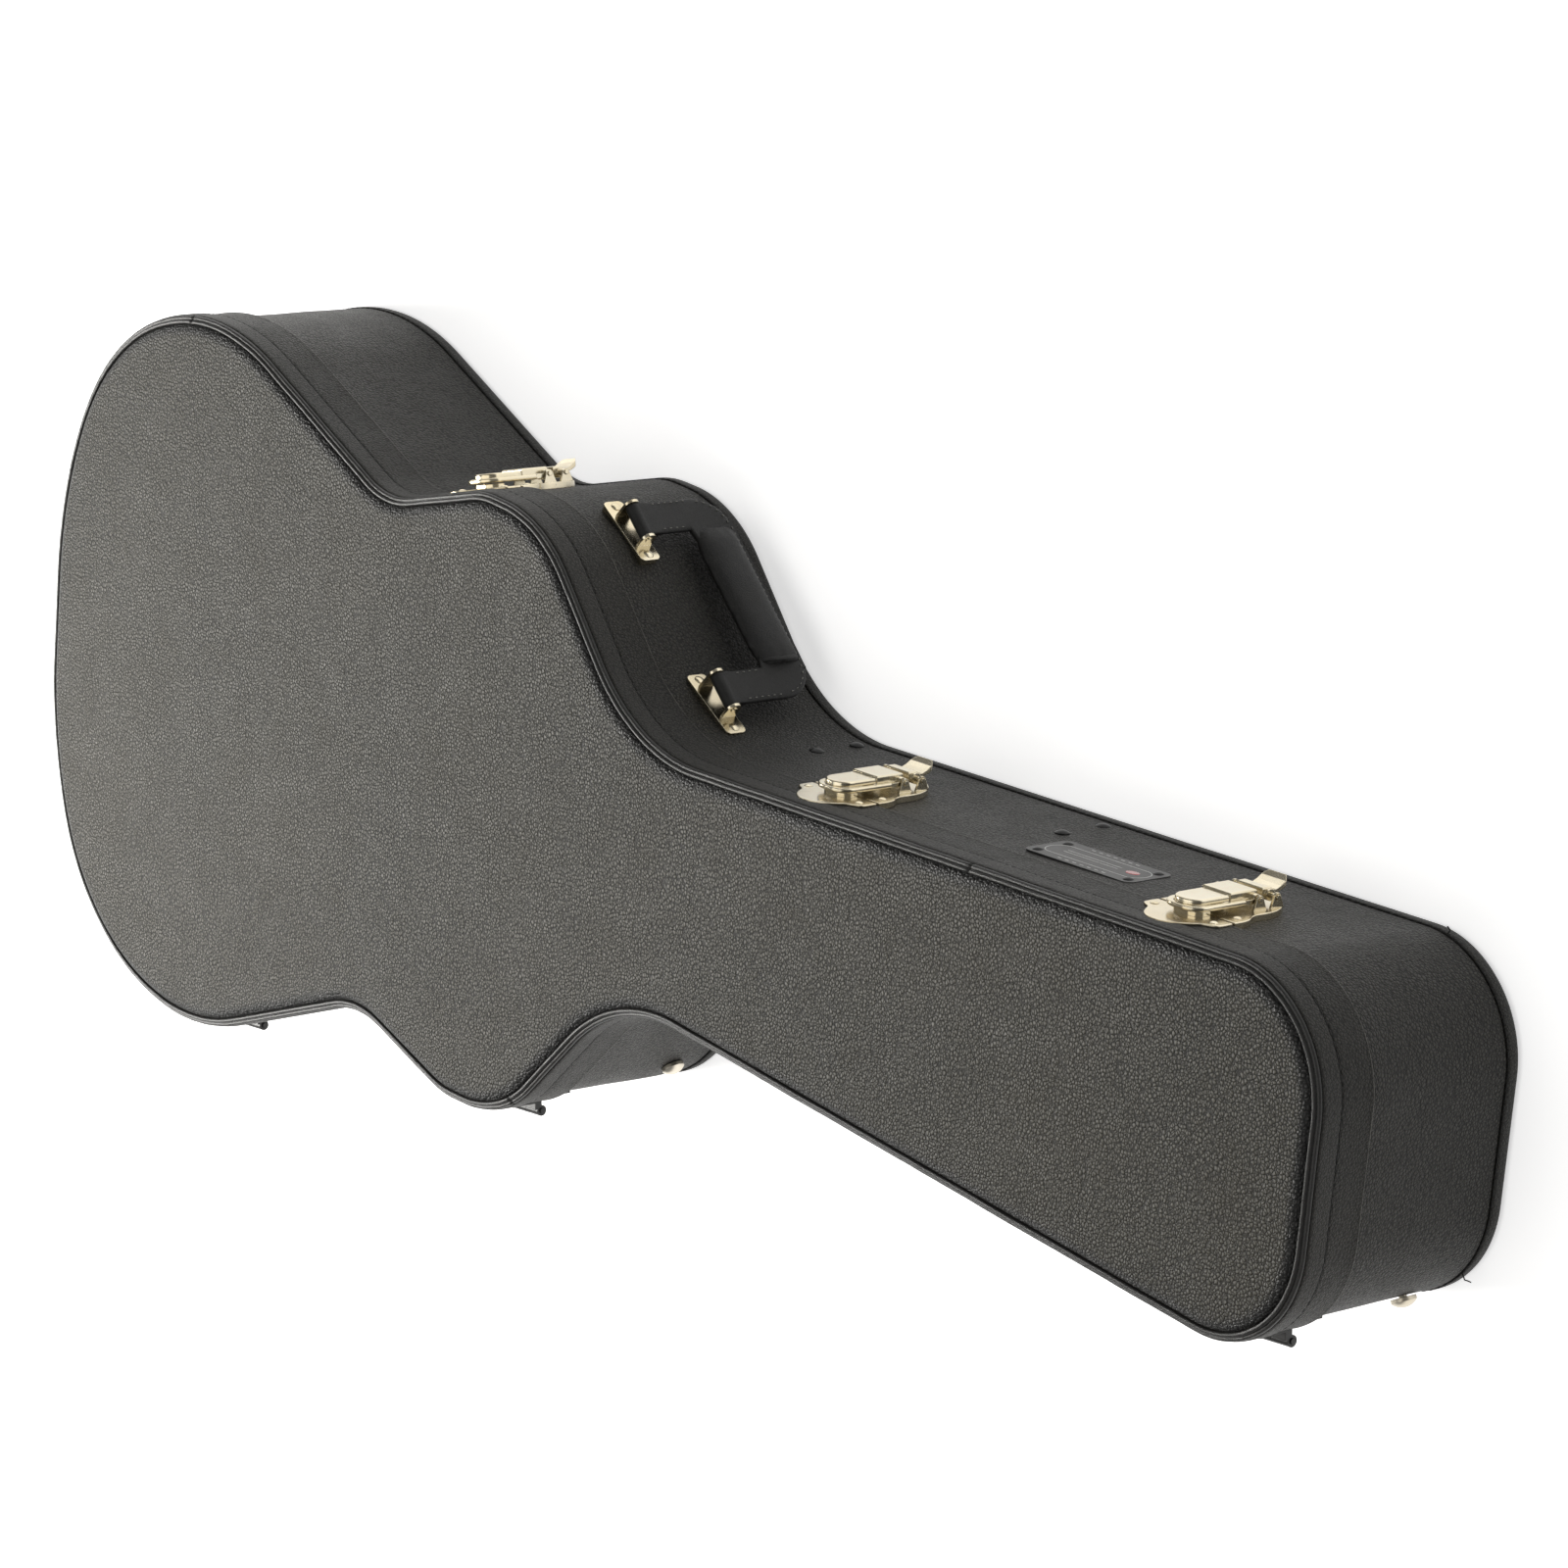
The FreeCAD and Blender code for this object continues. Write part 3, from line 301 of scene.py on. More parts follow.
# ---------------------------------------------------------------- materials
class Mat:
    """Small helper round a node tree."""

    def __init__(self, name, base=(0.5, 0.5, 0.5), rough=0.5, metal=0.0, spec=0.5, coat=0.0,
                 coat_rough=0.1, sheen=0.0, sheen_rough=0.4, sheen_tint=(1, 1, 1)):
        self.m = bpy.data.materials.new(name)
        self.m.use_nodes = True
        self.t = self.m.node_tree
        self.b = self.t.nodes["Principled BSDF"]
        self.out = self.t.nodes["Material Output"]
        i = self.b.inputs
        i["Base Color"].default_value = (*base, 1)
        i["Roughness"].default_value = rough
        i["Metallic"].default_value = metal
        i["Specular IOR Level"].default_value = spec
        i["Coat Weight"].default_value = coat
        i["Coat Roughness"].default_value = coat_rough
        i["Sheen Weight"].default_value = sheen
        i["Sheen Roughness"].default_value = sheen_rough
        i["Sheen Tint"].default_value = (*sheen_tint, 1)
        self.height = None
        self.tc = self.n("ShaderNodeTexCoord")

    def n(self, kind, **props):
        nd = self.t.nodes.new(kind)
        for k, v in props.items():
            setattr(nd, k, v)
        return nd

    def link(self, a, b):
        self.t.links.new(a, b)

    def coords(self, scale=(1, 1, 1), rot=(0, 0, 0), uv=False):
        mp = self.n("ShaderNodeMapping")
        mp.inputs["Scale"].default_value = scale
        mp.inputs["Rotation"].default_value = rot
        self.link(self.tc.outputs["UV" if uv else "Object"], mp.inputs["Vector"])
        return mp.outputs["Vector"]

    def noise(self, scale, detail=3.0, rough=0.5, vec=None, dist=0.0):
        nd = self.n("ShaderNodeTexNoise")
        nd.inputs["Scale"].default_value = scale
        nd.inputs["Detail"].default_value = detail
        nd.inputs["Roughness"].default_value = rough
        nd.inputs["Distortion"].default_value = dist
        self.link(vec if vec is not None else self.tc.outputs["Object"], nd.inputs["Vector"])
        return nd.outputs["Fac"]

    def voronoi(self, scale, feature="F1", vec=None, rand=1.0, smooth=None, out="Distance"):
        nd = self.n("ShaderNodeTexVoronoi", feature=feature)
        nd.inputs["Scale"].default_value = scale
        nd.inputs["Randomness"].default_value = rand
        if smooth is not None and feature == "SMOOTH_F1":
            nd.inputs["Smoothness"].default_value = smooth
        self.link(vec if vec is not None else self.tc.outputs["Object"], nd.inputs["Vector"])
        return nd.outputs[out]

    def ramp(self, fac, stops, interp="LINEAR"):
        nd = self.n("ShaderNodeValToRGB")
        nd.color_ramp.interpolation = interp
        el = nd.color_ramp.elements
        while len(el) < len(stops):
            el.new(0.5)
        for e, (p, c) in zip(el, stops):
            e.position = p
            e.color = (*c, 1) if len(c) == 3 else c
        self.link(fac, nd.inputs["Fac"])
        return nd.outputs["Color"]

    def math(self, op, a, b=None, clamp=False):
        nd = self.n("ShaderNodeMath", operation=op, use_clamp=clamp)
        for i, v in enumerate((a, b)):
            if v is None:
                continue
            if isinstance(v, (int, float)):
                nd.inputs[i].default_value = v
            else:
                self.link(v, nd.inputs[i])
        return nd.outputs[0]

    def mix(self, fac, a, b, mode="MIX"):
        nd = self.n("ShaderNodeMix", data_type="RGBA", blend_type=mode)
        for sock, v in ((nd.inputs[0], fac), (nd.inputs[6], a), (nd.inputs[7], b)):
            if isinstance(v, (int, float)):
                sock.default_value = v
            elif isinstance(v, tuple):
                sock.default_value = (*v, 1) if len(v) == 3 else v
            else:
                self.link(v, sock)
        return nd.outputs[2]

    def base(self, col):
        self.link(col, self.b.inputs["Base Color"])

    def rough(self, fac, lo, hi):
        mr = self.n("ShaderNodeMapRange")
        mr.inputs["To Min"].default_value = lo
        mr.inputs["To Max"].default_value = hi
        self.link(fac, mr.inputs["Value"])
        self.link(mr.outputs["Result"], self.b.inputs["Roughness"])

    def soft_edges(self, radius):
        """Rounds sharp edges in the shading, as on rolled sheet metal."""
        nd = self.n("ShaderNodeBevel")
        nd.samples = 4
        nd.inputs["Radius"].default_value = radius
        self.height = nd.outputs["Normal"]
        self.link(self.height, self.b.inputs["Normal"])

    def bump(self, height, dist, strength=1.0):
        nd = self.n("ShaderNodeBump")
        nd.inputs["Strength"].default_value = strength
        nd.inputs["Distance"].default_value = dist
        self.link(height, nd.inputs["Height"])
        if self.height is not None:
            self.link(self.height, nd.inputs["Normal"])
        self.height = nd.outputs["Normal"]
        self.link(self.height, self.b.inputs["Normal"])


def vinyl(name, dark, light, rough_lo, rough_hi, grain=1.0, bump=0.00028, spec=0.5, dust=0.12,
          tint=(0.20, 0.19, 0.165), contrast=1.0):
    """Pebble-grained vinyl: rounded pebbles of about 1.7 mm, with painted highlights on their
    crowns and painted shade in the creases, with faint warm dust and rubbed patches."""
    m = Mat(name, dark, rough_lo, spec=spec)
    warp = m.n("ShaderNodeTexNoise")
    warp.inputs["Scale"].default_value = 640.0 / grain
    warp.inputs["Detail"].default_value = 1.5
    m.link(m.tc.outputs["Object"], warp.inputs["Vector"])
    mv = m.n("ShaderNodeVectorMath", operation="MULTIPLY_ADD")
    mv.inputs[1].default_value = (0.0009 * grain, 0.0009 * grain, 0.0009 * grain)
    m.link(warp.outputs["Color"], mv.inputs[0])
    m.link(m.tc.outputs["Object"], mv.inputs[2])
    v = mv.outputs[0]
    cells = m.voronoi(560.0 / grain, "DISTANCE_TO_EDGE", v)
    dome = m.voronoi(560.0 / grain, "F1", v)
    fine = m.noise(2400.0 / grain, 2.0, 0.6)
    crown = m.math("ADD", m.math("MULTIPLY", m.ramp(cells, [
        (0.0, (0, 0, 0)), (0.07, (0.22, 0.22, 0.22)), (0.17, (0.75, 0.75, 0.75)), (0.32, (1, 1, 1))]), 0.60),
        m.math("MULTIPLY", m.ramp(dome, [
            (0.12, (1, 1, 1)), (0.38, (0.80, 0.80, 0.80)), (0.60, (0.32, 0.32, 0.32)), (0.78, (0, 0, 0))]), 0.40))
    h = m.math("ADD", crown, m.math("MULTIPLY", fine, 0.14))
    m.bump(h, bump, 1.0)
    big = m.noise(7.0, 4.0, 0.55)
    patch = m.noise(38.0, 3.0, 0.6)
    speck = m.noise(900.0 / grain, 2.0, 0.5)
    # painted highlight on the pebble crowns and painted shade in the creases: the crown height is reused as colour,
    # brightened at random by the speck noise
    crown_painted_light = m.math("MULTIPLY", crown, m.ramp(speck, [(0.30, (0.70, 0.70, 0.70)), (0.70, (1.2, 1.2, 1.2))]))
    col = m.mix(m.math("MULTIPLY", crown_painted_light, contrast), dark, light)
    col = m.mix(m.math("MULTIPLY", m.ramp(big, [(0.35, (0, 0, 0)), (0.75, (1, 1, 1))]), dust), col, tint)
    col = m.mix(m.math("MULTIPLY", m.ramp(patch, [(0.55, (0, 0, 0)), (0.9, (1, 1, 1))]), dust * 0.7), col,
                tuple(c * 1.2 for c in tint))
    m.base(col)
    m.rough(m.math("ADD", m.math("MULTIPLY", patch, 0.5), m.math("MULTIPLY", m.math("SUBTRACT", 1.0, crown), 0.45)),
            rough_lo, rough_hi)
    return m


M_SHELL = vinyl("shell_vinyl_pebble", (0.0018, 0.0018, 0.0015), (0.0262, 0.0245, 0.0186), 0.38, 0.74, bump=0.00062, spec=0.38,
                dust=0.05, tint=(0.045, 0.041, 0.032))
M_SHELL_LID = vinyl("lid_band_vinyl_pebble", (0.0026, 0.0026, 0.0022), (0.0195, 0.0183, 0.0140), 0.40, 0.74, grain=0.9, bump=0.00040,
                    spec=0.30, dust=0.10, tint=(0.055, 0.048, 0.036))
M_FACE = vinyl("lid_face_vinyl_pebble", (0.0030, 0.0028, 0.0020), (0.0600, 0.0558, 0.0412), 0.50, 0.80,
               bump=0.00066, spec=0.46, dust=0.20, tint=(0.062, 0.052, 0.034), grain=1.1)
M_BIND = vinyl("binding_vinyl_smooth", (0.0040, 0.0040, 0.0036), (0.024, 0.0228, 0.0186), 0.44, 0.70, grain=0.8,
               bump=0.00030, spec=0.32, dust=0.12, tint=(0.050, 0.043, 0.033))
M_BEAD = vinyl("bead_vinyl_gloss", (0.0035, 0.0035, 0.0033), (0.012, 0.0118, 0.0105), 0.30, 0.52, grain=0.55,
               bump=0.00010, spec=0.42, dust=0.10, tint=(0.045, 0.040, 0.032))


def rim_painted_shade(m, amount, smooth_rough):
    """The stretched edge of the face is smoother than its middle, and painted darker there as shade on its rolled edge.
    """
    att = m.n("ShaderNodeAttribute", attribute_name="rim")
    sock = m.b.inputs["Base Color"]
    src = sock.links[0].from_socket
    m.base(m.mix(m.math("MULTIPLY", att.outputs["Fac"], amount, clamp=True), src, (0.0042, 0.0042, 0.004)))
    rs = m.b.inputs["Roughness"].links[0].from_socket
    m.link(m.math("SUBTRACT", rs, m.math("MULTIPLY", att.outputs["Fac"], smooth_rough), clamp=True), m.b.inputs["Roughness"])


def pale_lip_line(m, z0, z1, col):
    """Paler mottled line along the free lower edge of the lid."""
    sep = m.n("ShaderNodeSeparateXYZ")
    m.link(m.tc.outputs["Object"], sep.inputs[0])
    up = m.n("ShaderNodeMapRange", interpolation_type="SMOOTHSTEP")
    up.inputs["From Min"].default_value = z1
    up.inputs["From Max"].default_value = z0
    m.link(sep.outputs["Z"], up.inputs["Value"])
    spots = m.ramp(m.noise(55.0, 4.0, 0.6), [(0.30, (0.15, 0.15, 0.15)), (0.62, (1, 1, 1))])
    fac = m.math("MULTIPLY", up.outputs["Result"], spots)
    src = m.b.inputs["Base Color"].links[0].from_socket
    m.base(m.mix(fac, src, col))


# painted shade along the rolled edge of the lid face
rim_painted_shade(M_FACE, 0.96, 0.12)
pale_lip_line(M_SHELL_LID, 0.1013, 0.1022, (0.11, 0.105, 0.092))


def plush(name, col, light):
    m = Mat(name, col, 0.95, spec=0.15, sheen=0.6, sheen_rough=0.45, sheen_tint=light)
    fib = m.noise(2600.0, 4.0, 0.7)
    nap = m.noise(60.0, 3.0, 0.6, dist=0.6)
    crush = m.noise(14.0, 4.0, 0.6)
    m.base(m.mix(m.ramp(nap, [(0.3, (0, 0, 0)), (0.7, (1, 1, 1))]), tuple(c * 0.62 for c in col),
                 tuple(min(1, c * 1.45) for c in col)))
    m.bump(crush, 0.0016, 0.5)
    m.bump(nap, 0.0012, 0.5)
    m.bump(fib, 0.0006, 0.8)
    return m


M_PLUSH = plush("plush_lining_pile", (0.085, 0.012, 0.020), (0.55, 0.20, 0.24))


def metal(name, col, rough_lo, rough_hi, dark=0.55, spots=True):
    m = Mat(name, col, rough_lo, metal=1.0)
    m.soft_edges(0.0005)
    wear = m.noise(90.0, 5.0, 0.65)
    scr = m.noise(600.0, 2.0, 0.5, vec=m.coords((1, 1, 0.08)))
    tarn = m.noise(22.0, 4.0, 0.6)
    c = m.mix(m.ramp(tarn, [(0.40, (0, 0, 0)), (0.75, (1, 1, 1))]), col, tuple(x * y for x, y in zip(col, (0.86, 0.80, 0.68))))
    if spots:
        c = m.mix(m.ramp(m.noise(420.0, 3.0, 0.7), [(0.66, (0, 0, 0)), (0.74, (1, 1, 1))]), c,
                  tuple(x * dark for x in col))
    m.base(c)
    m.rough(wear, rough_lo, rough_hi)
    m.bump(scr, 0.00002, 0.5)
    return m


M_METAL = metal("plated_pale_brass", (0.70, 0.635, 0.485), 0.11, 0.30)
M_STEEL = metal("worn_steel_glide", (0.66, 0.62, 0.54), 0.22, 0.45)
M_BLACK = metal("black_lacquered_stud", (0.004, 0.004, 0.004), 0.22, 0.36, spots=False)
M_BLACK.b.inputs["Metallic"].default_value = 0.0
M_BLACK.b.inputs["Coat Weight"].default_value = 0.0
M_BLACK.b.inputs["Specular IOR Level"].default_value = 0.22


def leather(name):
    m = Mat(name, (0.01, 0.01, 0.01), 0.5, spec=0.32)
    crease = m.voronoi(1100.0, "DISTANCE_TO_EDGE")
    h2 = m.math("MINIMUM", m.math("MULTIPLY", crease, 4.0), 1.0)
    wr = m.noise(320.0, 4.0, 0.6)
    worn = m.noise(45.0, 4.0, 0.6)
    c = m.mix(m.ramp(worn, [(0.45, (0, 0, 0)), (0.85, (1, 1, 1))]), (0.0062, 0.0062, 0.0058), (0.018, 0.0172, 0.0152))
    m.base(m.mix(m.math("MULTIPLY", m.math("SUBTRACT", 1.0, h2), 0.6), c, (0.003, 0.003, 0.003)))
    m.rough(m.math("ADD", m.math("MULTIPLY", worn, 0.7), m.math("MULTIPLY", wr, 0.3)), 0.40, 0.66)
    m.bump(wr, 0.00030, 0.5)
    m.bump(h2, 0.00012, 0.8)
    return m


M_LEATHER = leather("handle_leather_grain")
M_WOOD = Mat("plain_ply", (0.40, 0.27, 0.15), 0.7)
_w = M_WOOD.noise(60.0, 5.0, 0.6, vec=M_WOOD.coords((0.12, 1, 1)), dist=1.2)
M_WOOD.base(M_WOOD.mix(_w, (0.24, 0.15, 0.08), (0.52, 0.37, 0.21)))
M_WOOD.bump(_w, 0.0002, 0.5)


M_HINGE = metal("black_japanned_hinge", (0.012, 0.012, 0.012), 0.28, 0.5, spots=False)
M_HINGE.b.inputs["Metallic"].default_value = 0.0
M_HINGE.b.inputs["Specular IOR Level"].default_value = 0.4
_h = M_HINGE.ramp(M_HINGE.noise(160.0, 5.0, 0.7), [(0.66, (0, 0, 0)), (0.74, (1, 1, 1))])
M_HINGE.base(M_HINGE.mix(_h, (0.010, 0.010, 0.0098), (0.07, 0.062, 0.05)))
M_THREAD = Mat("dark_seam_thread", (0.006, 0.006, 0.006), 0.55, spec=0.35)
_t = M_THREAD.noise(2500.0, 2.0, vec=M_THREAD.coords((1, 1, 1)))
M_THREAD.base(M_THREAD.mix(_t, (0.003, 0.003, 0.003), (0.012, 0.012, 0.011)))
M_THREAD.bump(_t, 0.0002, 0.8)
M_STITCH = Mat("handle_stitch_thread", (0.10, 0.10, 0.09), 0.7, spec=0.3)
_t = M_STITCH.noise(1800.0, 2.0)
M_STITCH.base(M_STITCH.mix(_t, (0.11, 0.11, 0.10), (0.27, 0.265, 0.24)))
M_STITCH.bump(_t, 0.0002, 0.8)
M_INK = Mat("badge_pale_print", (0.30, 0.30, 0.29), 0.55)
M_INK.base(M_INK.mix(M_INK.noise(700.0, 3.0), (0.34, 0.34, 0.33), (0.66, 0.66, 0.64)))
M_INK.bump(M_INK.noise(1500.0), 0.00003, 0.5)
M_RED = Mat("badge_red_enamel", (0.35, 0.02, 0.02), 0.25, coat=0.6)
M_RED.base(M_RED.mix(M_RED.noise(500.0, 3.0), (0.26, 0.012, 0.014), (0.42, 0.03, 0.03)))
M_RED.bump(M_RED.noise(900.0), 0.00003, 0.4)
M_BADGE = Mat("badge_smoked_plastic", (0.03, 0.03, 0.03), 0.45, spec=0.35, coat=0.12, coat_rough=0.3)
_b = M_BADGE.noise(120.0, 4.0, 0.6)
M_BADGE.base(M_BADGE.mix(_b, (0.020, 0.020, 0.020), (0.042, 0.042, 0.040)))
M_BADGE.rough(_b, 0.38, 0.55)
M_BADGE.bump(M_BADGE.noise(420.0, 2.0), 0.00004, 0.5)


# ---------------------------------------------------------------- lid shell
SPLICE = [wall_at(-305.0, -1)[4], wall_at(55.0, 1)[4], wall_at(420.0, -1)[4]]


def refine(pts, arcs, marks):
    out = list(pts)
    extra = []
    for s in marks:
        for d in (-2.2, -1.2, -0.6, 0.0, 0.6, 1.2, 2.2):
            extra.append((s + d) % PERIM)
    keep = [(arcs[i], pts[i]) for i in range(len(pts)) if all(abs(arcs[i] - e) > 0.5 for e in extra)]
    keep += [(e, at_arc(e)) for e in extra]
    keep.sort(key=lambda t: t[0])
    return [k[1] for k in keep], [k[0] for k in keep]


BEAD_PTS, BEAD_ARC = refine(OUT, ARC[:-1], SPLICE)


def n3(x, y, z=0.0):
    return noise.noise(Vector((x, y, z)))


def lid_wob(i, j, x, y, o, z):
    # hand-wrapped vinyl is never quite flat
    if o < -2.0:
        return (0.0, 0.0)
    if z > 122.2:
        return (0.20 * n3(x * 0.012, y * 0.012, 3.0), 0.0)
    k = max(0.0, min(1.0, (z - PART - 1.0) / 4.0, (121.8 - z) / 3.0 + 0.25))
    return (k * 0.32 * n3(x * 0.02, y * 0.02, z * 0.03), 0.0)


band = [(-4.95, PART + 0.22), (-1.0, PART + 0.2), (-0.3, PART + 0.26), (0.12, PART + 0.62),
        (0.22, PART + 1.2), (0.14, PART + 1.9), (0.02, PART + 2.8)]
z = PART + 5.0
while z < 119.5:
    band.append((0.0, z))
    z += 3.5
band += [(0.0, 120.6), (-0.12, 121.4), (-0.5, 122.0), (-1.3, 122.3), (-4.95, 122.3)]
lid_band = sweep("lid_band_skin", band, M_SHELL_LID.m, wob=lid_wob, closed_profile=True)
bind = [(-4.9, 122.4), (-1.3, 122.4), (-0.45, 122.5), (0.25, 122.8), (0.70, 123.4), (0.82, 124.3), (0.78, 126.5),
        (0.74, 129.2), (0.72, 131.6), (0.60, 133.3), (0.25, 134.3), (-0.45, 134.7), (-1.6, 134.6), (-4.9, 134.0)]
lid_bind = sweep("lid_binding_skin", bind, M_BIND.m, wob=lid_wob, closed_profile=True)


def ridge(c, r, a0, a1, k):
    return [(c[0] + r * math.cos(math.radians(a0 + (a1 - a0) * q / k)),
             c[1] + r * math.sin(math.radians(a0 + (a1 - a0) * q / k))) for q in range(k + 1)]


# piping: two slim cords side by side, tucked under the rolled edge of the face
bead = (ridge((-1.25, 135.6), 1.35, -60, 142, 8) + ridge((-3.35, 136.9), 1.25, 25, 190, 7)
        + [(-5.2, 136.0), (-5.6, 134.4), (-1.2, 134.3)])


def bead_wob(i, j, x, y, o, z):
    s = BEAD_ARC[i]
    cut = 0.0
    for m in SPLICE:
        d = abs((s - m + PERIM / 2) % PERIM - PERIM / 2)
        cut = max(cut, math.exp(-(d / 0.9) ** 2))
    lump = 0.20 * n3(x * 0.03, y * 0.03, 1.0) + 0.10 * n3(x * 0.14, y * 0.14, 4.0)
    top = 1.0 if z > 134.9 else 0.0
    return (lump * top - cut * 0.7 * top, (0.22 * n3(x * 0.026, y * 0.026, 5.0) + 0.10 * n3(x * 0.15, y * 0.15, 8.0)
                                           - 1.0 * cut) * top)


lid_bead = sweep("lid_bead_piping", bead, M_BEAD.m, wob=bead_wob, closed_profile=True, pts=BEAD_PTS)


def face_z(d, x, y):
    rise = 1.35 * (1 - math.exp(-d / 40.0))
    if d <= 0:
        return 140.0
    return 140.0 + rise + 0.32 * n3(x * 0.008, y * 0.008, 2.0) + 0.10 * n3(x * 0.03, y * 0.03, 6.0)


# the third number of each ring weights the painted shade on the face's rolled edge
lid_face = fill_slab("lid_face_panel", -15.0, face_z,
                     [(-13.2, 139.98, 0.10), (-11.6, 139.92, 0.22), (-10.2, 139.8, 0.55), (-8.9, 139.52, 0.85),
                      (-7.7, 139.1, 1.0), (-6.7, 138.55, 1.0), (-5.8, 137.8, 1.0), (-5.1, 136.9, 1.0), (-4.8, 136.0, 1.0),
                      (-5.0, 135.0, 1.0), (-6.6, 134.3, 1.0)], 134.2, M_FACE.m)
for ob, nds in ((lid_band, ("lid_wall_latch_side", "lid_wall_hinge_side")), (lid_bind, ("lid_edge_binding",)),
                (lid_bead, ("lid_bead",)), (lid_face, ("lid_panel",))):
    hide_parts(*nds)
    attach(ob, "lid")

# --------------------------------------------------------------- base shell
wall = [(-BI - 4.95, PART - 0.28), (-BI - 1.2, PART - 0.25), (-BI - 0.35, PART - 0.42), (-BI, PART - 1.2)]
z = PART - 4
while z > 13:
    wall.append((-BI, z))
    z -= 4.5
wall += [(-BI, 11.2), (-BI - 0.15, 10.5), (-BI - 0.55, 9.95), (-BI - 1.5, 9.7), (-BI - 4.95, 9.7)]
z = 30.0
while z < PART - 5:
    wall.append((-BI - 4.95, z))
    z += 24.0


def base_wob(i, j, x, y, o, z):
    if o < -BI - 2:
        return (0.0, 0.0)
    k = max(0.0, min(1.0, (z - 11.0) / 12.0, (PART - 1 - z) / 12.0))
    return (k * (0.75 * n3(x * 0.012, y * 0.012, z * 0.018 + 4.0) + 0.18 * n3(x * 0.045, y * 0.045, z * 0.05)), 0.0)


base_wall = sweep("base_wall_skin", wall, M_SHELL.m, wob=base_wob, flip=True, closed_profile=True)
bb = [(-BI - 4.9, 9.6), (-BI - 1.4, 9.6), (-BI - 0.45, 9.45), (-BI + 0.2, 9.15), (-BI + 0.62, 8.6), (-BI + 0.74, 7.6),
      (-BI + 0.68, 5.6), (-BI + 0.5, 3.9), (-BI - 0.05, 2.4), (-BI - 1.2, 1.1), (-BI - 2.8, 0.35), (-BI - 5.0, 0.05),
      (-BI - 9.0, 0.0), (-BI - 11.0, 0.03), (-BI - 11.4, 0.6), (-BI - 10.6, 3.0)]
base_bind = sweep("base_binding_skin", bb, M_BIND.m, flip=True, closed_profile=True,
                  wob=lambda i, j, x, y, o, z: (0.18 * n3(x * 0.015, y * 0.015, 2.0) if z > 3 and o > -5 else 0.0, 0.0))
base_under = fill_slab("base_underside_panel", -BI - 11.2, lambda d, x, y: 0.35, [(-BI - 10.9, 0.5, 0.0), (-BI - 10.9, 4.9, 0.0)],
                       4.95, M_SHELL.m, spacing=16.0, down=True)
for ob, nds in ((base_wall, ("base_wall_latch_side", "base_wall_hinge_side")), (base_bind, ("base_edge_binding",)),
                (base_under, ("base_panel",))):
    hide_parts(*nds)
    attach(ob, "base")


# ------------------------------------------------------------------ stitches
def stitch_verts(pos, tan, nrm, L, dia, verts, faces, ring=6):
    """One sunken-ended thread stitch at pos, in mm, along tan."""
    side = tan.cross(nrm).normalized()
    base = len(verts)
    stations = ((-0.5, 0.35, -0.55), (-0.40, 0.85, 0.0), (-0.15, 1.0, 0.28), (0.15, 1.0, 0.28), (0.40, 0.85, 0.0), (0.5, 0.35, -0.55))
    for (f, rr, lift) in stations:
        c = pos + tan * (f * L) + nrm * (lift * dia * 0.5)
        for k in range(ring):
            a = 2 * math.pi * k / ring
            v = c + nrm * (math.cos(a) * dia / 2 * rr) + side * (math.sin(a) * dia / 2 * rr)
            verts.append(tuple(q * MM for q in v))
    m = len(stations)
    for q in range(m - 1):
        for k in range(ring):
            k2 = (k + 1) % ring
            faces.append((base + q * ring + k, base + q * ring + k2, base + (q + 1) * ring + k2, base + (q + 1) * ring + k))
    faces.append(tuple(base + k for k in reversed(range(ring))))
    faces.append(tuple(base + (m - 1) * ring + k for k in range(ring)))


def stitch_ring(name, off, z, pitch, length, dia, mat, body, tilt=0.0):
    verts, faces = [], []
    rnd = random.Random(11)
    count = int(PERIM / pitch)
    for q in range(count):
        s = q * PERIM / count
        x, y, nx, ny = at_arc(s)
        nrm = Vector((nx * math.cos(tilt), ny * math.cos(tilt), math.sin(tilt)))
        tan = Vector((-ny, nx, rnd.uniform(-0.06, 0.06))).normalized()
        stitch_verts(Vector((x + nx * off, y + ny * off, z + rnd.uniform(-0.12, 0.12))), tan, nrm,
                     length * rnd.uniform(0.88, 1.08), dia, verts, faces)
    ob = new_object(name, verts, faces, mat=mat)
    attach(ob, body)
    return ob


stitch_ring("lid_seam_stitches", 0.34, 122.75, 5.4, 3.9, 0.85, M_THREAD.m, "lid")
stitch_ring("base_seam_stitches", -BI + 0.22, 9.35, 5.4, 3.9, 0.85, M_THREAD.m, "base")


# ------------------------------------------------------------- loose threads
def thread(name, pts, dia, mat, body):
    """A short limp thread end, a smooth tube through a few points, in mm."""
    cu = bpy.data.curves.new(name, "CURVE")
    cu.dimensions = "3D"
    sp = cu.splines.new("NURBS")
    sp.points.add(len(pts) - 1)
    for p, q in zip(sp.points, pts):
        p.co = (q[0] * MM, q[1] * MM, q[2] * MM, 1)
    sp.order_u = 3
    sp.use_endpoint_u = True
    cu.bevel_depth = dia / 2 * MM
    cu.bevel_resolution = 2
    cu.use_fill_caps = True
    tmp = bpy.data.objects.new(name + "_tmp", cu)
    scene.collection.objects.link(tmp)
    dg = bpy.context.evaluated_depsgraph_get()
    me = bpy.data.meshes.new_from_object(tmp.evaluated_get(dg))
    bpy.data.objects.remove(tmp)
    me.name = name
    me.materials.clear()
    me.materials.append(mat)
    ob = bpy.data.objects.new(name, me)
    scene.collection.objects.link(ob)
    for p in me.polygons:
        p.use_smooth = True
    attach(ob, body)
    return ob


def thread_at(name, s, off, z, body, reach, seed):
    rnd = random.Random(seed)
    x, y, nx, ny = at_arc(s)
    pts = []
    for k in range(6):
        f = k / 5
        o = off - 0.6 + reach * f
        a = rnd.uniform(-1.6, 1.6) * f
        pts.append((x + nx * o - ny * a, y + ny * o + nx * a, z + rnd.uniform(-1.3, 1.3) * f))
    return thread(name, pts, 0.7, M_THREAD.m, body)


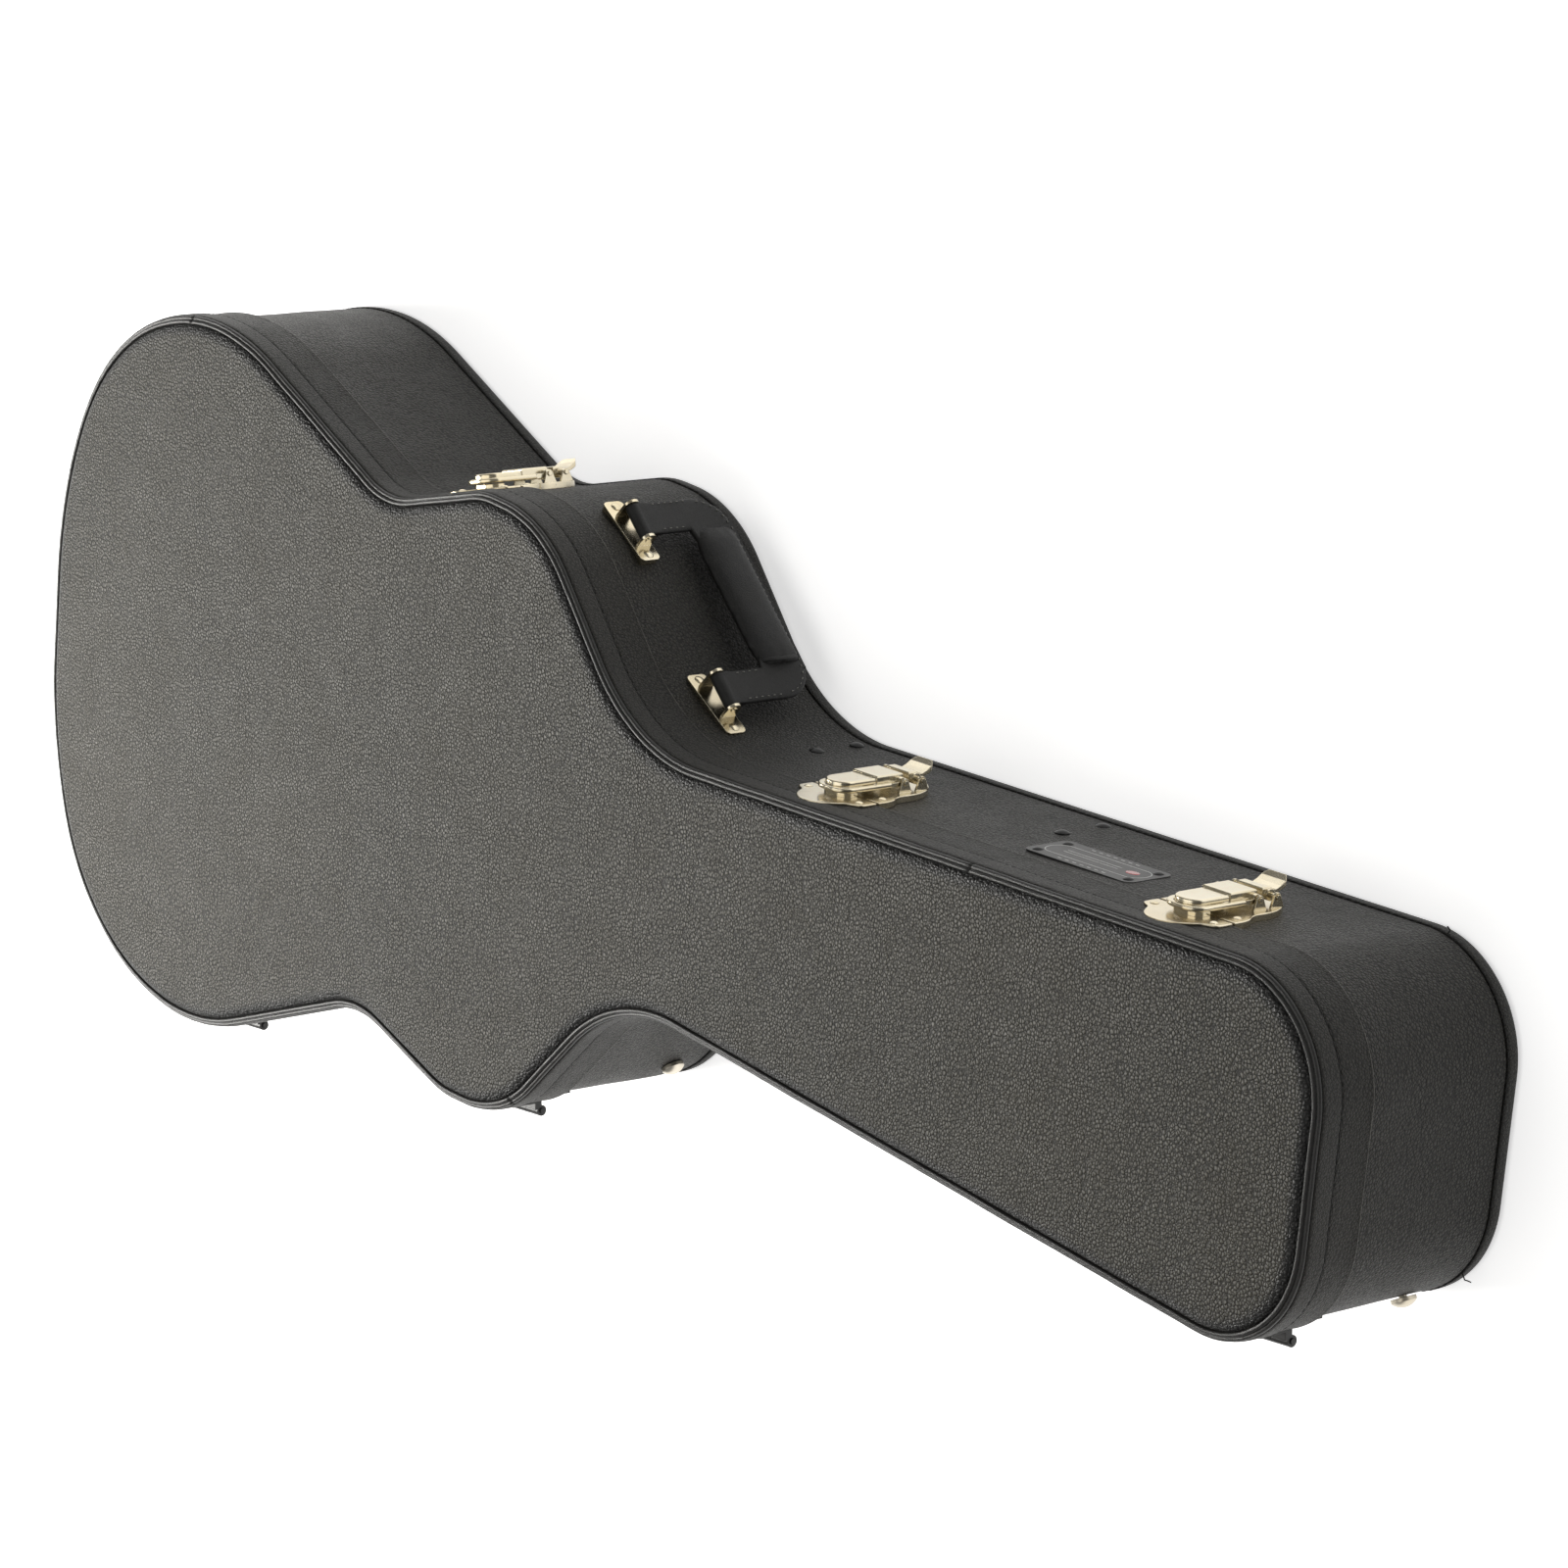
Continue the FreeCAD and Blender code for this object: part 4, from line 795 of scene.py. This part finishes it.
thread_at("loose_thread_1", wall_at(-508.0, -1)[4], -BI, 9.2, "base", 4.5, 3)
thread_at("loose_thread_2", wall_at(-545.0, 1)[4], -BI, 9.0, "base", 7.0, 5)
thread_at("loose_thread_3", wall_at(470.0, 1)[4], 0.3, 122.6, "lid", 6.0, 8)


# --------------------------------------------------------- padded soft parts
def rounded_box(name, lo, hi, r, mat, cuts=1, seg=3):
    """Box with rounded edges, mm, built in bmesh."""
    bm = bmesh.new()
    c = [[lo[k], hi[k]] for k in range(3)]
    vs = [bm.verts.new((c[0][i] * MM, c[1][j] * MM, c[2][k] * MM)) for i in (0, 1) for j in (0, 1) for k in (0, 1)]
    for f in ((0, 1, 3, 2), (4, 6, 7, 5), (0, 4, 5, 1), (2, 3, 7, 6), (0, 2, 6, 4), (1, 5, 7, 3)):
        bm.faces.new([vs[q] for q in f])
    bmesh.ops.recalc_face_normals(bm, faces=bm.faces)
    bmesh.ops.bevel(bm, geom=list(bm.edges), offset=r * MM, segments=seg, profile=0.5, affect="EDGES", clamp_overlap=True)
    me = bpy.data.meshes.new(name)
    bm.to_mesh(me)
    bm.free()
    me.materials.append(mat)
    ob = bpy.data.objects.new(name, me)
    scene.collection.objects.link(ob)
    for p in me.polygons:
        p.use_smooth = True
    return ob


def extruded(name, poly, axis_range, to3, mat):
    """Prism of a 2-D outline (u, v) between two positions on the third axis."""
    a0, a1 = axis_range
    n = len(poly)
    verts = [tuple(q * MM for q in to3(a, u, v)) for a in (a0, a1) for u, v in poly]
    faces = [(i, (i + 1) % n, n + (i + 1) % n, n + i) for i in range(n)]
    faces += [tuple(reversed(range(n))), tuple(range(n, 2 * n))]
    ob = new_object(name, verts, faces, mat=mat)
    bm = bmesh.new()
    bm.from_mesh(ob.data)
    bmesh.ops.recalc_face_normals(bm, faces=bm.faces)
    bm.to_mesh(ob.data)
    bm.free()
    return ob


def inflate(ob, voxel, cap, pressure=4.0, sub=1, smooth=0, stiff=12.0, hold=None):
    """Cloth with inner pressure, applied: the piece swells from its slightly
    smaller start shape, and no point moves further than cap (mm)."""
    rm = ob.modifiers.new("remesh", "REMESH")
    rm.mode = "VOXEL"
    rm.voxel_size = voxel * MM
    rm.use_smooth_shade = True
    apply_mods(ob)
    me = ob.data
    n = len(me.vertices)
    rest = np.empty(n * 3)
    me.vertices.foreach_get("co", rest)
    rest = rest.reshape(-1, 3)
    if hold is not None:
        vg = ob.vertex_groups.new(name="hold")
        for i in range(n):
            w = hold(rest[i] / MM)
            if w > 0:
                vg.add([i], w, "REPLACE")
    cl = ob.modifiers.new("cloth", "CLOTH")
    st = cl.settings
    st.quality = 5
    st.mass = 0.15
    st.tension_stiffness = stiff
    st.compression_stiffness = stiff
    st.shear_stiffness = stiff * 0.4
    st.bending_stiffness = 0.4
    st.use_pressure = True
    st.uniform_pressure_force = pressure
    st.effector_weights.gravity = 0.0
    if hold is not None:
        st.vertex_group_mass = "hold"
        st.pin_stiffness = 1.0
    cl.collision_settings.use_collision = False
    cl.collision_settings.use_self_collision = False
    cl.point_cache.frame_start = 1
    cl.point_cache.frame_end = 20
    for f in range(1, 21):
        scene.frame_set(f)
    dg = bpy.context.evaluated_depsgraph_get()
    ev = ob.evaluated_get(dg)
    co = np.empty(n * 3)
    ev.data.vertices.foreach_get("co", co)
    co = co.reshape(-1, 3)
    ob.modifiers.remove(cl)
    scene.frame_set(1)
    d = co - rest
    L = np.linalg.norm(d, axis=1)
    k = np.minimum(1.0, cap * MM / np.maximum(L, 1e-9))
    me.vertices.foreach_set("co", (rest + d * k[:, None]).ravel())
    me.update()
    if ob.vertex_groups:
        ob.vertex_groups.clear()
    if smooth:
        sm = ob.modifiers.new("smooth", "SMOOTH")
        sm.iterations = smooth
        sm.factor = 0.5
    if sub:
        sb = ob.modifiers.new("sub", "SUBSURF")
        sb.levels = sub
        sb.render_levels = sub
    apply_mods(ob)
    for p in ob.data.polygons:
        p.use_smooth = True
    return ob


# --- accessory compartment and neck rest, plush over foam and ply
heel = inflate(rounded_box("compartment_heel_pad", (-76.4, -57.2, 9.7), (-71.6, 57.2, 53.4), 1.6, M_PLUSH.m), 2.4, 0.6)
head = inflate(rounded_box("compartment_head_pad", (-274.4, -57.2, 9.7), (-269.6, 57.2, 53.4), 1.6, M_PLUSH.m), 2.4, 0.6)
cradle = [(-57.0, 9.8), (57.0, 9.8), (57.0, 72.8)]
for k in range(0, 13):
    a = math.radians(-50 + (-180 + 100) * k / 12.0)
    cradle.append((33.9 * math.cos(a), 96 + 33.9 * math.sin(a)))
cradle = [p for p in cradle if p[1] <= 72.9]
cradle.append((-57.0, 72.8))
block = extruded("neck_rest_pad", cradle, (-330.4, -276.3), lambda a, u, v: (a, u, v), M_PLUSH.m)
inflate(block, 3.4, 1.3, smooth=4)
clid = inflate(rounded_box("compartment_lid_pad", (-267.8, -56.8, 51.1), (-78.2, 56.6, 54.0), 1.2, M_PLUSH.m), 2.4, 0.6)
for ob, nd, body in ((heel, "compartment_heel_wall", "base"), (head, "compartment_head_wall", "base"),
                     (block, "neck_block", "base"), (clid, "compartment_lid", "compartment_door")):
    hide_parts(nd)
    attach(ob, body)

# --- rim padding that stands up inside the lid when it is shut
pad = [(-11.3, 9.1), (-8.1, 9.1)]
z = 14.0
while z < 104:
    pad.append((-7.9, z))
    z += 9.0
pad += [(-7.95, 105.5), (-8.1, 107.4), (-8.6, 108.9), (-9.6, 109.7), (-10.5, 109.4), (-11.2, 108.3), (-11.6, 106.6)]
z = 100.0
while z > 12:
    pad.append((-11.65, z))
    z -= 9.0


def pad_wob(i, j, x, y, o, z):
    s = ARC[i]
    k = max(0.0, min(1.0, (z - 12.0) / 20.0))
    ruck = 0.14 * math.sin(s * 0.33 + 2.5 * n3(x * 0.01, y * 0.01, z * 0.02)) * k
    return (-abs(ruck) if o < -9.7 else -0.05 * k, (0.5 * n3(x * 0.02, y * 0.02, 3.0) - 0.3) if z > 106 else 0.0)


pads = sweep("rim_padding_plush", pad, M_PLUSH.m, wob=pad_wob, closed_profile=True, flip=False)
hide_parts("base_padding_latch_side", "base_padding_hinge_side")
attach(pads, "base")

floor_pad = fill_slab("floor_plush_pad", -14.5, lambda d, x, y: 9.0 - 0.25 * abs(n3(x * 0.015, y * 0.015, 1.0)),
                      [(-13.4, 8.75, 0.0), (-12.6, 8.1, 0.0), (-12.2, 7.0, 0.0), (-12.2, 5.3, 0.0)], 5.2, M_PLUSH.m, spacing=8.0)
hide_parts("base_floor_lining")
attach(floor_pad, "base")

lid_pad = fill_slab("lid_plush_pad", -10.5, lambda d, x, y: 130.6 + 0.3 * abs(n3(x * 0.012, y * 0.012, 8.0)),
                    [(-8.8, 130.9, 0.0), (-7.6, 131.7, 0.0), (-7.0, 132.8, 0.0), (-7.0, 134.0, 0.0)], 134.0, M_PLUSH.m,
                    spacing=8.0, down=True)
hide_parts("lid_lining")
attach(lid_pad, "lid")
lwall = [(-5.1, 104.0), (-6.0, 103.95), (-6.3, 104.6), (-6.35, 107.0), (-6.3, 112.0), (-6.35, 118.0), (-6.3, 124.0),
         (-6.3, 130.0), (-6.0, 132.3), (-5.1, 132.3), (-5.1, 118.0)]
lid_wall_pad = sweep("lid_wall_plush", lwall, M_PLUSH.m, closed_profile=True, flip=True)
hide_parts("lid_wall_lining")
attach(lid_wall_pad, "lid")


# pull tab: a folded strip of the same plush-backed tape on the little lid
def strip(name, path, half, thick, mat, edge=0.35):
    """Flat strip along path, a list of (centre, side vector, normal), mm."""
    verts, faces = [], []
    sect = [(-1, -0.5 * edge), (-0.93, -0.5), (0.93, -0.5), (1, -0.5 * edge), (1, 0.5 * edge), (0.93, 0.5), (-0.93, 0.5), (-1, 0.5 * edge)]
    m = len(sect)
    for c, side, nrm in path:
        for u, w in sect:
            verts.append(tuple(q * MM for q in (c + side * (u * half) + nrm * (w * thick))))
    for i in range(len(path) - 1):
        for j in range(m):
            j2 = (j + 1) % m
            faces.append((i * m + j, (i + 1) * m + j, (i + 1) * m + j2, i * m + j2))
    faces.append(tuple(reversed(range(m))))
    faces.append(tuple(range((len(path) - 1) * m, len(path) * m)))
    ob = new_object(name, verts, faces, mat=mat)
    bm = bmesh.new()
    bm.from_mesh(ob.data)
    bmesh.ops.recalc_face_normals(bm, faces=bm.faces)
    bm.to_mesh(ob.data)
    bm.free()
    shade_auto(ob, 50)
    return ob


path = []
for k in range(13):
    t = k / 12
    y = -29.0 - 24.0 * t
    zz = 55.1 + 1.2 * math.sin(t * math.pi) * t
    path.append((Vector((-173.0, y, zz)), Vector((1, 0, 0)), Vector((0, 0, 1))))
tab = strip("compartment_pull_tape", path, 9.6, 0.9, M_BIND.m)
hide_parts("compartment_pull_tab")
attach(tab, "compartment_door")
verts, faces = [], []
for u in (-8.0, 8.0):
    for k in range(4):
        stitch_verts(Vector((-173 + u, -31.0 - 2.6 * k, 55.65)), Vector((0, 1, 0)), Vector((0, 0, 1)), 1.9, 0.5, verts, faces)
for k in range(6):
    stitch_verts(Vector((-173 - 6.5 + 2.6 * k, -30.0, 55.6)), Vector((1, 0, 0)), Vector((0, 0, 1)), 1.9, 0.5, verts, faces)
tab_st = new_object("compartment_tape_stitches", verts, faces, mat=M_STITCH.m)
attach(tab_st, "compartment_door")

# ------------------------------------------------------------------- handle
H1, H2 = Vector((60.9, -161.7, 0)), Vector((-23.7, -88.1, 0))
HE = (H2 - H1).normalized()
HC = (H1 + H2) / 2
HO = Vector((HE.y, -HE.x, 0))
if HO.y > 0:
    HO = -HO
HZ, HH = 77.0, 56.4


def hp(x, y, z):
    p = HC + HE * x + HO * y
    return Vector((p.x, p.y, z))


def strap(name, sgn):
    """Leather strap looped over the pin and running down into the grip: the
    side profile (y, z) drawn across a width that follows the outline."""
    prof = []
    for k in range(0, 15):          # round the pin, outside to inside
        a = math.radians(-25 + 235 * k / 14.0)
        prof.append((9.0 + 4.05 * math.cos(a), HZ + 4.05 * math.sin(a)))
    prof += [(7.0, 73.2), (8.3, 71.2), (8.9, 68.5), (8.95, 62.0), (8.95, 55.0), (8.95, 48.0), (8.95, 44.5), (8.95, 40.0),
             (8.95, 34.0), (8.95, 29.0), (8.95, 25.0), (9.1, 22.0), (9.6, 20.1), (10.8, 19.2), (12.0, 20.1),
             (12.6, 22.0), (12.75, 25.0), (12.75, 29.0), (12.75, 34.0), (12.75, 40.0), (12.75, 44.5), (12.75, 48.0),
             (12.75, 55.0), (12.75, 62.0), (12.8, 68.5), (12.9, 72.0)]
    R = 21.0
    zc = 19.2 + R

    def xout(z):
        if z >= zc:
            return HH + 10.4
        return HH + 10.4 - R + math.sqrt(max(0.0, R * R - (zc - z) ** 2))

    def xin(z):
        t = max(0.0, min(1.0, (47.8 - z) / 3.3))
        return HH - 10.4 - 14.0 * (3 * t * t - 2 * t ** 3)

    stations = (0.0, 0.025, 0.07, 0.14, 0.30, 0.5, 0.70, 0.86, 0.93, 0.975, 1.0)
    thick = (0.30, 0.72, 0.90, 0.97, 1.0, 1.0, 1.0, 0.97, 0.90, 0.72, 0.30)
    verts, faces = [], []
    m = len(prof)
    for f, tk in zip(stations, thick):
        for y, z in prof:
            a, b = xin(z), xout(z)
            if z > 70:
                # the loop keeps its wall, only its lips are rounded
                mid = Vector((9.0, HZ)) if z > 73 else Vector((10.8, z))
                k = 1.0 - (1.0 - tk) * 0.16
                yy, zz = mid.x + (y - mid.x) * k, mid.y + (z - mid.y) * k
            else:
                yy, zz = 10.85 + (y - 10.85) * tk, z
            x = a + (b - a) * f
            wave = 0.25 * n3(x * 0.06, z * 0.05, sgn * 5.0)
            verts.append(tuple(q * MM for q in hp(sgn * x, yy + wave * 0.5, zz)))
    for i in range(len(stations) - 1):
        for j in range(m):
            j2 = (j + 1) % m
            faces.append((i * m + j, (i + 1) * m + j, (i + 1) * m + j2, i * m + j2))
    for e in (0, len(stations) - 1):
        ring = [e * m + j for j in range(m)]
        faces.append(tuple(ring))
    ob = new_object(name, verts, faces, mat=M_LEATHER.m)
    bm = bmesh.new()
    bm.from_mesh(ob.data)
    bmesh.ops.triangulate(bm, faces=[f for f in bm.faces if len(f.verts) > 4])
    bmesh.ops.recalc_face_normals(bm, faces=bm.faces)
    bm.to_mesh(ob.data)
    bm.free()
    shade_auto(ob, 60)
    return ob


for k, sgn in ((1, -1), (2, 1)):
    ob = strap("handle_leather_strap_%d" % k, sgn)
    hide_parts("handle_strap_%d" % k)
    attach(ob, "handle")

# grip: leather rolled over a soft core, swollen by cloth pressure and gathered
# where it meets the straps
GY, GZ = 10.7, 34.2
gr_poly = []
for k in range(24):
    a = 2 * math.pi * k / 24
    gr_poly.append((math.copysign(abs(math.cos(a)) ** 0.94, math.cos(a)) * 6.7, math.copysign(abs(math.sin(a)) ** 0.94, math.sin(a)) * 13.9))
verts, faces = [], []
xs = [-45.6, -45.2, -43.5, -40.5, -36.0, -30, -22, -14, -6, 2, 10, 18, 26, 32, 37.0, 41.0, 43.8, 45.2, 45.6]
for q, x in enumerate(xs):
    e = abs(x) / 45.6
    t = 0.0 if e < 0.72 else (e - 0.72) / 0.28
    ky = 1.0 - (0.52 if x < 0 else 0.30) * t * t
    kz = 1.0 - 0.10 * t * t
    for y, z in gr_poly:
        verts.append(tuple(c * MM for c in hp(x, GY + 0.15 * t + y * ky, GZ - 1.2 * t + z * kz)))
n = len(gr_poly)
for i in range(len(xs) - 1):
    for j in range(n):
        j2 = (j + 1) % n
        faces.append((i * n + j, (i + 1) * n + j, (i + 1) * n + j2, i * n + j2))
faces.append(tuple(reversed(range(n))))
faces.append(tuple(range((len(xs) - 1) * n, len(xs) * n)))
grip = new_object("handle_padded_grip", verts, faces, mat=M_LEATHER.m)
bm = bmesh.new()
bm.from_mesh(grip.data)
bmesh.ops.recalc_face_normals(bm, faces=bm.faces)
bm.to_mesh(grip.data)
bm.free()


def grip_hold(p):
    x = (Vector(p) - HC).dot(HE)
    return max(0.0, min(1.0, (abs(x) - 40.5) / 3.0))


inflate(grip, 1.6, 1.1, pressure=6.0, smooth=3, hold=grip_hold)
# soft lengthwise creases near the collars and hand wear, moved in code
for v in grip.data.vertices:
    p = v.co / MM
    rel = Vector((p.x, p.y, 0)) - HC
    x, y, z = rel.dot(HE), rel.dot(HO) - GY, p.z - GZ
    a = math.atan2(z / 2.0, y)
    e = max(0.0, (abs(x) - 30.0) / 15.0)
    pull = 0.35 * e * (0.5 + 0.5 * math.sin(a * 9 + 1.7 * math.sin(x * 0.2))) + 0.18 * n3(x * 0.05, a * 1.4, 3.0)
    r = math.hypot(y, z) or 1.0
    off = (HO * (y / r) + Vector((0, 0, z / r))) * (-pull)
    v.co = (p + off) * MM
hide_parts("handle_grip")
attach(grip, "handle")

# rolled lip where the lower strap is wrapped over the grip, and the stitched fin
verts, faces = [], []
n, m = 44, 10
for i in range(n):
    a = 2 * math.pi * i / n
    cy, cz = math.cos(a), math.sin(a)
    lean = 1.6 * cy
    for q in range(m):
        b = 2 * math.pi * q / m
        u, w = 1.5 * math.cos(b), 0.85 * math.sin(b)
        verts.append(tuple(c * MM for c in hp(43.2 + u + lean * 0.6 - 1.6 * cz * cz, GY + cy * (5.2 + w), GZ - 0.6 + cz * (12.6 + w))))
for i in range(n):
    i2 = (i + 1) % n
    for q in range(m):
        q2 = (q + 1) % m
        faces.append((i * m + q, i2 * m + q, i2 * m + q2, i * m + q2))
col = new_object("handle_grip_lip", verts, faces, mat=M_LEATHER.m)
bm = bmesh.new()
bm.from_mesh(col.data)
bmesh.ops.recalc_face_normals(bm, faces=bm.faces)
bm.to_mesh(col.data)
bm.free()
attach(col, "handle")
path = []
for k in range(31):
    x = -50.0 + 100.0 * k / 30
    path.append((hp(x, 10.8, 22.0 + 0.12 * math.sin(x * 0.3)), Vector((0, 0, 1)), HO))
fin = strip("handle_stitched_fin", path, 3.2, 3.5, M_LEATHER.m, edge=0.3)
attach(fin, "handle")

verts, faces = [], []
rnd = random.Random(4)


def hstitch(x, y, z, tx, tz, ny=1.0):
    t = (HE * tx + Vector((0, 0, tz))).normalized()
    stitch_verts(hp(x, y, z), t, HO * ny, 1.6 * rnd.uniform(0.9, 1.1), 0.52, verts, faces)


for sgn in (-1, 1):
    for side_y, ny in ((12.85, 1.0), (8.85, -1.0)):
        z = 66.0
        while z > 42.0:      # down both edges of the strap
            hstitch(sgn * (HH + 8.4), side_y, z, 0, 1, ny)
            if z > 51:
                hstitch(sgn * (HH - 8.4), side_y, z, 0, 1, ny)
            z -= 4.2
        for k in range(1, 7):  # round the corner
            a = math.radians(-13.5 * k)
            cx, cz = HH + 10.4 - 21.0, 19.2 + 21.0
            hstitch(sgn * (cx + 18.4 * math.cos(a)), side_y, cz + 18.4 * math.sin(a), sgn * math.sin(a), -math.cos(a), ny)
        x = 2.1
        while x < 46:
            hstitch(sgn * x, side_y - 0.02, 21.1, 1, 0, ny)
            x += 4.2
hst = new_object("handle_stitches", verts, faces, mat=M_STITCH.m)
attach(hst, "handle")

# -------------------------------------------------------------------- badge
BXW = wall_at(-327.5, -1)
BP = Vector((BXW[0] - BXW[2] * BI, BXW[1] - BXW[3] * BI, 72.0))
BN = Vector((BXW[2], BXW[3], 0))
BV = Vector((BN.y, -BN.x, 0))


def bpt(a, w, z):
    return BP + BV * a + BN * w + Vector((0, 0, z))


def badge_line(name, pts, half, h, mat, closed=False):
    """Thin raised line on the badge through (a, z) points."""
    verts, faces = [], []
    n = len(pts)
    for i, (a, z) in enumerate(pts):
        p0 = pts[i - 1] if (closed or i) else pts[i]
        p1 = pts[(i + 1) % n] if (closed or i < n - 1) else pts[i]
        t = Vector((p1[0] - p0[0], p1[1] - p0[1])).normalized()
        nx, nz = -t.y, t.x
        for u, w in ((-1, 1.02), (-0.6, 1.02 + h), (0.6, 1.02 + h), (1, 1.02)):
            verts.append(tuple(q * MM for q in bpt(a + nx * u * half, w, z + nz * u * half)))
    for i in range(n if closed else n - 1):
        i2 = (i + 1) % n
        for j in range(4):
            j2 = (j + 1) % 4
            faces.append((i * 4 + j, i2 * 4 + j, i2 * 4 + j2, i * 4 + j2))
    if not closed:
        faces.append((0, 1, 2, 3))
        faces.append(tuple(reversed(range((n - 1) * 4, n * 4))))
    return new_object(name, verts, faces, smooth=False, mat=mat)


def rrect(hx, hz, r, k=6):
    out = []
    for cx, cz, a0 in ((hx - r, hz - r, 0), (-hx + r, hz - r, 90), (-hx + r, -hz + r, 180), (hx - r, -hz + r, 270)):
        for q in range(k + 1):
            a = math.radians(a0 + 90 * q / k)
            out.append((cx + r * math.cos(a), cz + r * math.sin(a)))
    return out


parts = [badge_line("t", rrect(35.5, 8.2, 8.0, 10), 0.28, 0.12, M_INK.m, closed=True)]
for k in range(7):
    a = -16.0 + 5.4 * k
    parts.append(badge_line("t", [(a, 12.4), (a + 2.6, 12.4)], 0.38, 0.12, M_INK.m))
    parts.append(badge_line("t", [(a - 2.0, -12.4), (a + 0.6, -12.4)], 0.38, 0.12, M_INK.m))
for zz in (-1.6, 1.4):
    parts.append(badge_line("t", [(-24.0, zz), (16.0, zz)], 0.30, 0.12, M_INK.m))
badge_print = join("badge_plain_marks", parts)
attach(badge_print, "base")
verts, faces = [], []
n = 28
for r, w in ((0.0, 1.30), (0.55, 1.28), (0.9, 1.18), (1.0, 1.02)):
    for k in range(n):
        a = 2 * math.pi * k / n
        verts.append(tuple(q * MM for q in bpt(25.5 + 4.6 * r * math.cos(a), w, 3.0 * r * math.sin(a))))
for i in range(3):
    for k in range(n):
        k2 = (k + 1) % n
        faces.append((i * n + k, (i + 1) * n + k, (i + 1) * n + k2, i * n + k2))
faces.append(tuple(3 * n + k for k in range(n)))
dot = new_object("badge_plain_red_oval", verts, faces, mat=M_RED.m)
bm = bmesh.new()
bm.from_mesh(dot.data)
bmesh.ops.remove_doubles(bm, verts=bm.verts, dist=1e-6)
bmesh.ops.recalc_face_normals(bm, faces=bm.faces)
bm.to_mesh(dot.data)
bm.free()
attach(dot, "base")

# ----------------------------------------------------------------- hardware
def use_material(node, mat):
    ob = NODES[node]
    ob.data.materials.clear()
    ob.data.materials.append(mat.m)
    for p in ob.data.polygons:
        p.material_index = 0


for nd in ("hinge_base_leaves", "hinge_pins", "hinge_base_rivets", "hinge_lid_leaves", "hinge_lid_rivets"):
    use_material(nd, M_HINGE)
for nd in ("latch_pins", "latch_base_rivets", "latch_lid_rivets", "handle_plates", "handle_pins", "handle_rivets",
           "compartment_hinge_pin"):
    use_material(nd, M_METAL)
for i in (1, 2, 3):
    for part in ("keeper", "base_plate", "bail", "lever"):
        use_material("latch%d_%s" % (i, part), M_METAL)
use_material("side_glides", M_STEEL)
use_material("badge_rivets", M_BLACK)
use_material("compartment_studs", M_BLACK)
use_material("compartment_hinge_rail", M_WOOD)
use_material("badge_plate", M_BADGE)

# ------------------------------------------------------------------- camera
F_PX = 5253.4656
K = 1118.0 / 1100.0
RM = Matrix(((-0.6220196224663725, -0.08036023839901431, -0.7788670113384218),
             (-0.26418397346739814, 0.9579299154682654, 0.11214769375220915),
             (0.7370877949266076, 0.2755222479862848, -0.6170810914578535)))
CAM = Vector((-2073.89359758, -800.6718807, 1741.12339511)) * K * MM
rot = RM.transposed() @ Matrix(((1, 0, 0), (0, -1, 0), (0, 0, -1)))
cam_data = bpy.data.cameras.new("camera")
cam = bpy.data.objects.new("camera", cam_data)
scene.collection.objects.link(cam)
cam.matrix_world = Matrix.Translation(CAM) @ rot.to_4x4()
cam_data.sensor_fit = "HORIZONTAL"
cam_data.sensor_width = 36.0
cam_data.lens = F_PX / 1600.0 * 36.0
cam_data.clip_start = 0.05
cam_data.clip_end = 60.0
scene.camera = cam

# -------------------------------------------------------------------- stage
floor = new_object("stage_floor", [(-9, -9, -0.0004), (9, -9, -0.0004), (9, 9, -0.0004), (-9, 9, -0.0004)], [(0, 1, 2, 3)], smooth=False)
mf = Mat("stage_paper", (0.93, 0.93, 0.93), 0.9, spec=0.1)
mf.bump(mf.noise(300.0), 0.0001, 0.1)
mf.base(mf.mix(mf.noise(3.0), (0.93, 0.93, 0.93), (0.95, 0.95, 0.95)))
mf.b.inputs["Emission Color"].default_value = (1, 1, 1, 1)
mf.b.inputs["Emission Strength"].default_value = 0.58
floor.data.materials.append(mf.m)

world = bpy.data.worlds.new("studio")
scene.world = world
world.use_nodes = True
bg = world.node_tree.nodes["Background"]
bg.inputs["Color"].default_value = (1.0, 1.0, 1.0, 1)
bg.inputs["Strength"].default_value = 0.20


def area(name, loc, target, size, power, size_y=None, color=(1, 1, 1)):
    d = bpy.data.lights.new(name, "AREA")
    d.energy = power
    d.color = color
    d.size = size
    if size_y:
        d.shape = "RECTANGLE"
        d.size_y = size_y
    o = bpy.data.objects.new(name, d)
    scene.collection.objects.link(o)
    o.location = loc
    direction = Vector(target) - Vector(loc)
    o.rotation_euler = direction.to_track_quat("-Z", "Y").to_euler()
    return o


area("key", (1.63, 0.45, 1.02), (0.35, 0.0, 0.14), 0.9, 44, 0.9, color=(1.0, 0.985, 0.95))
area("top", (0.0, 0.0, 3.6), (0.0, 0.0, 0.0), 4.4, 84, 4.4, color=(1.0, 0.985, 0.955))
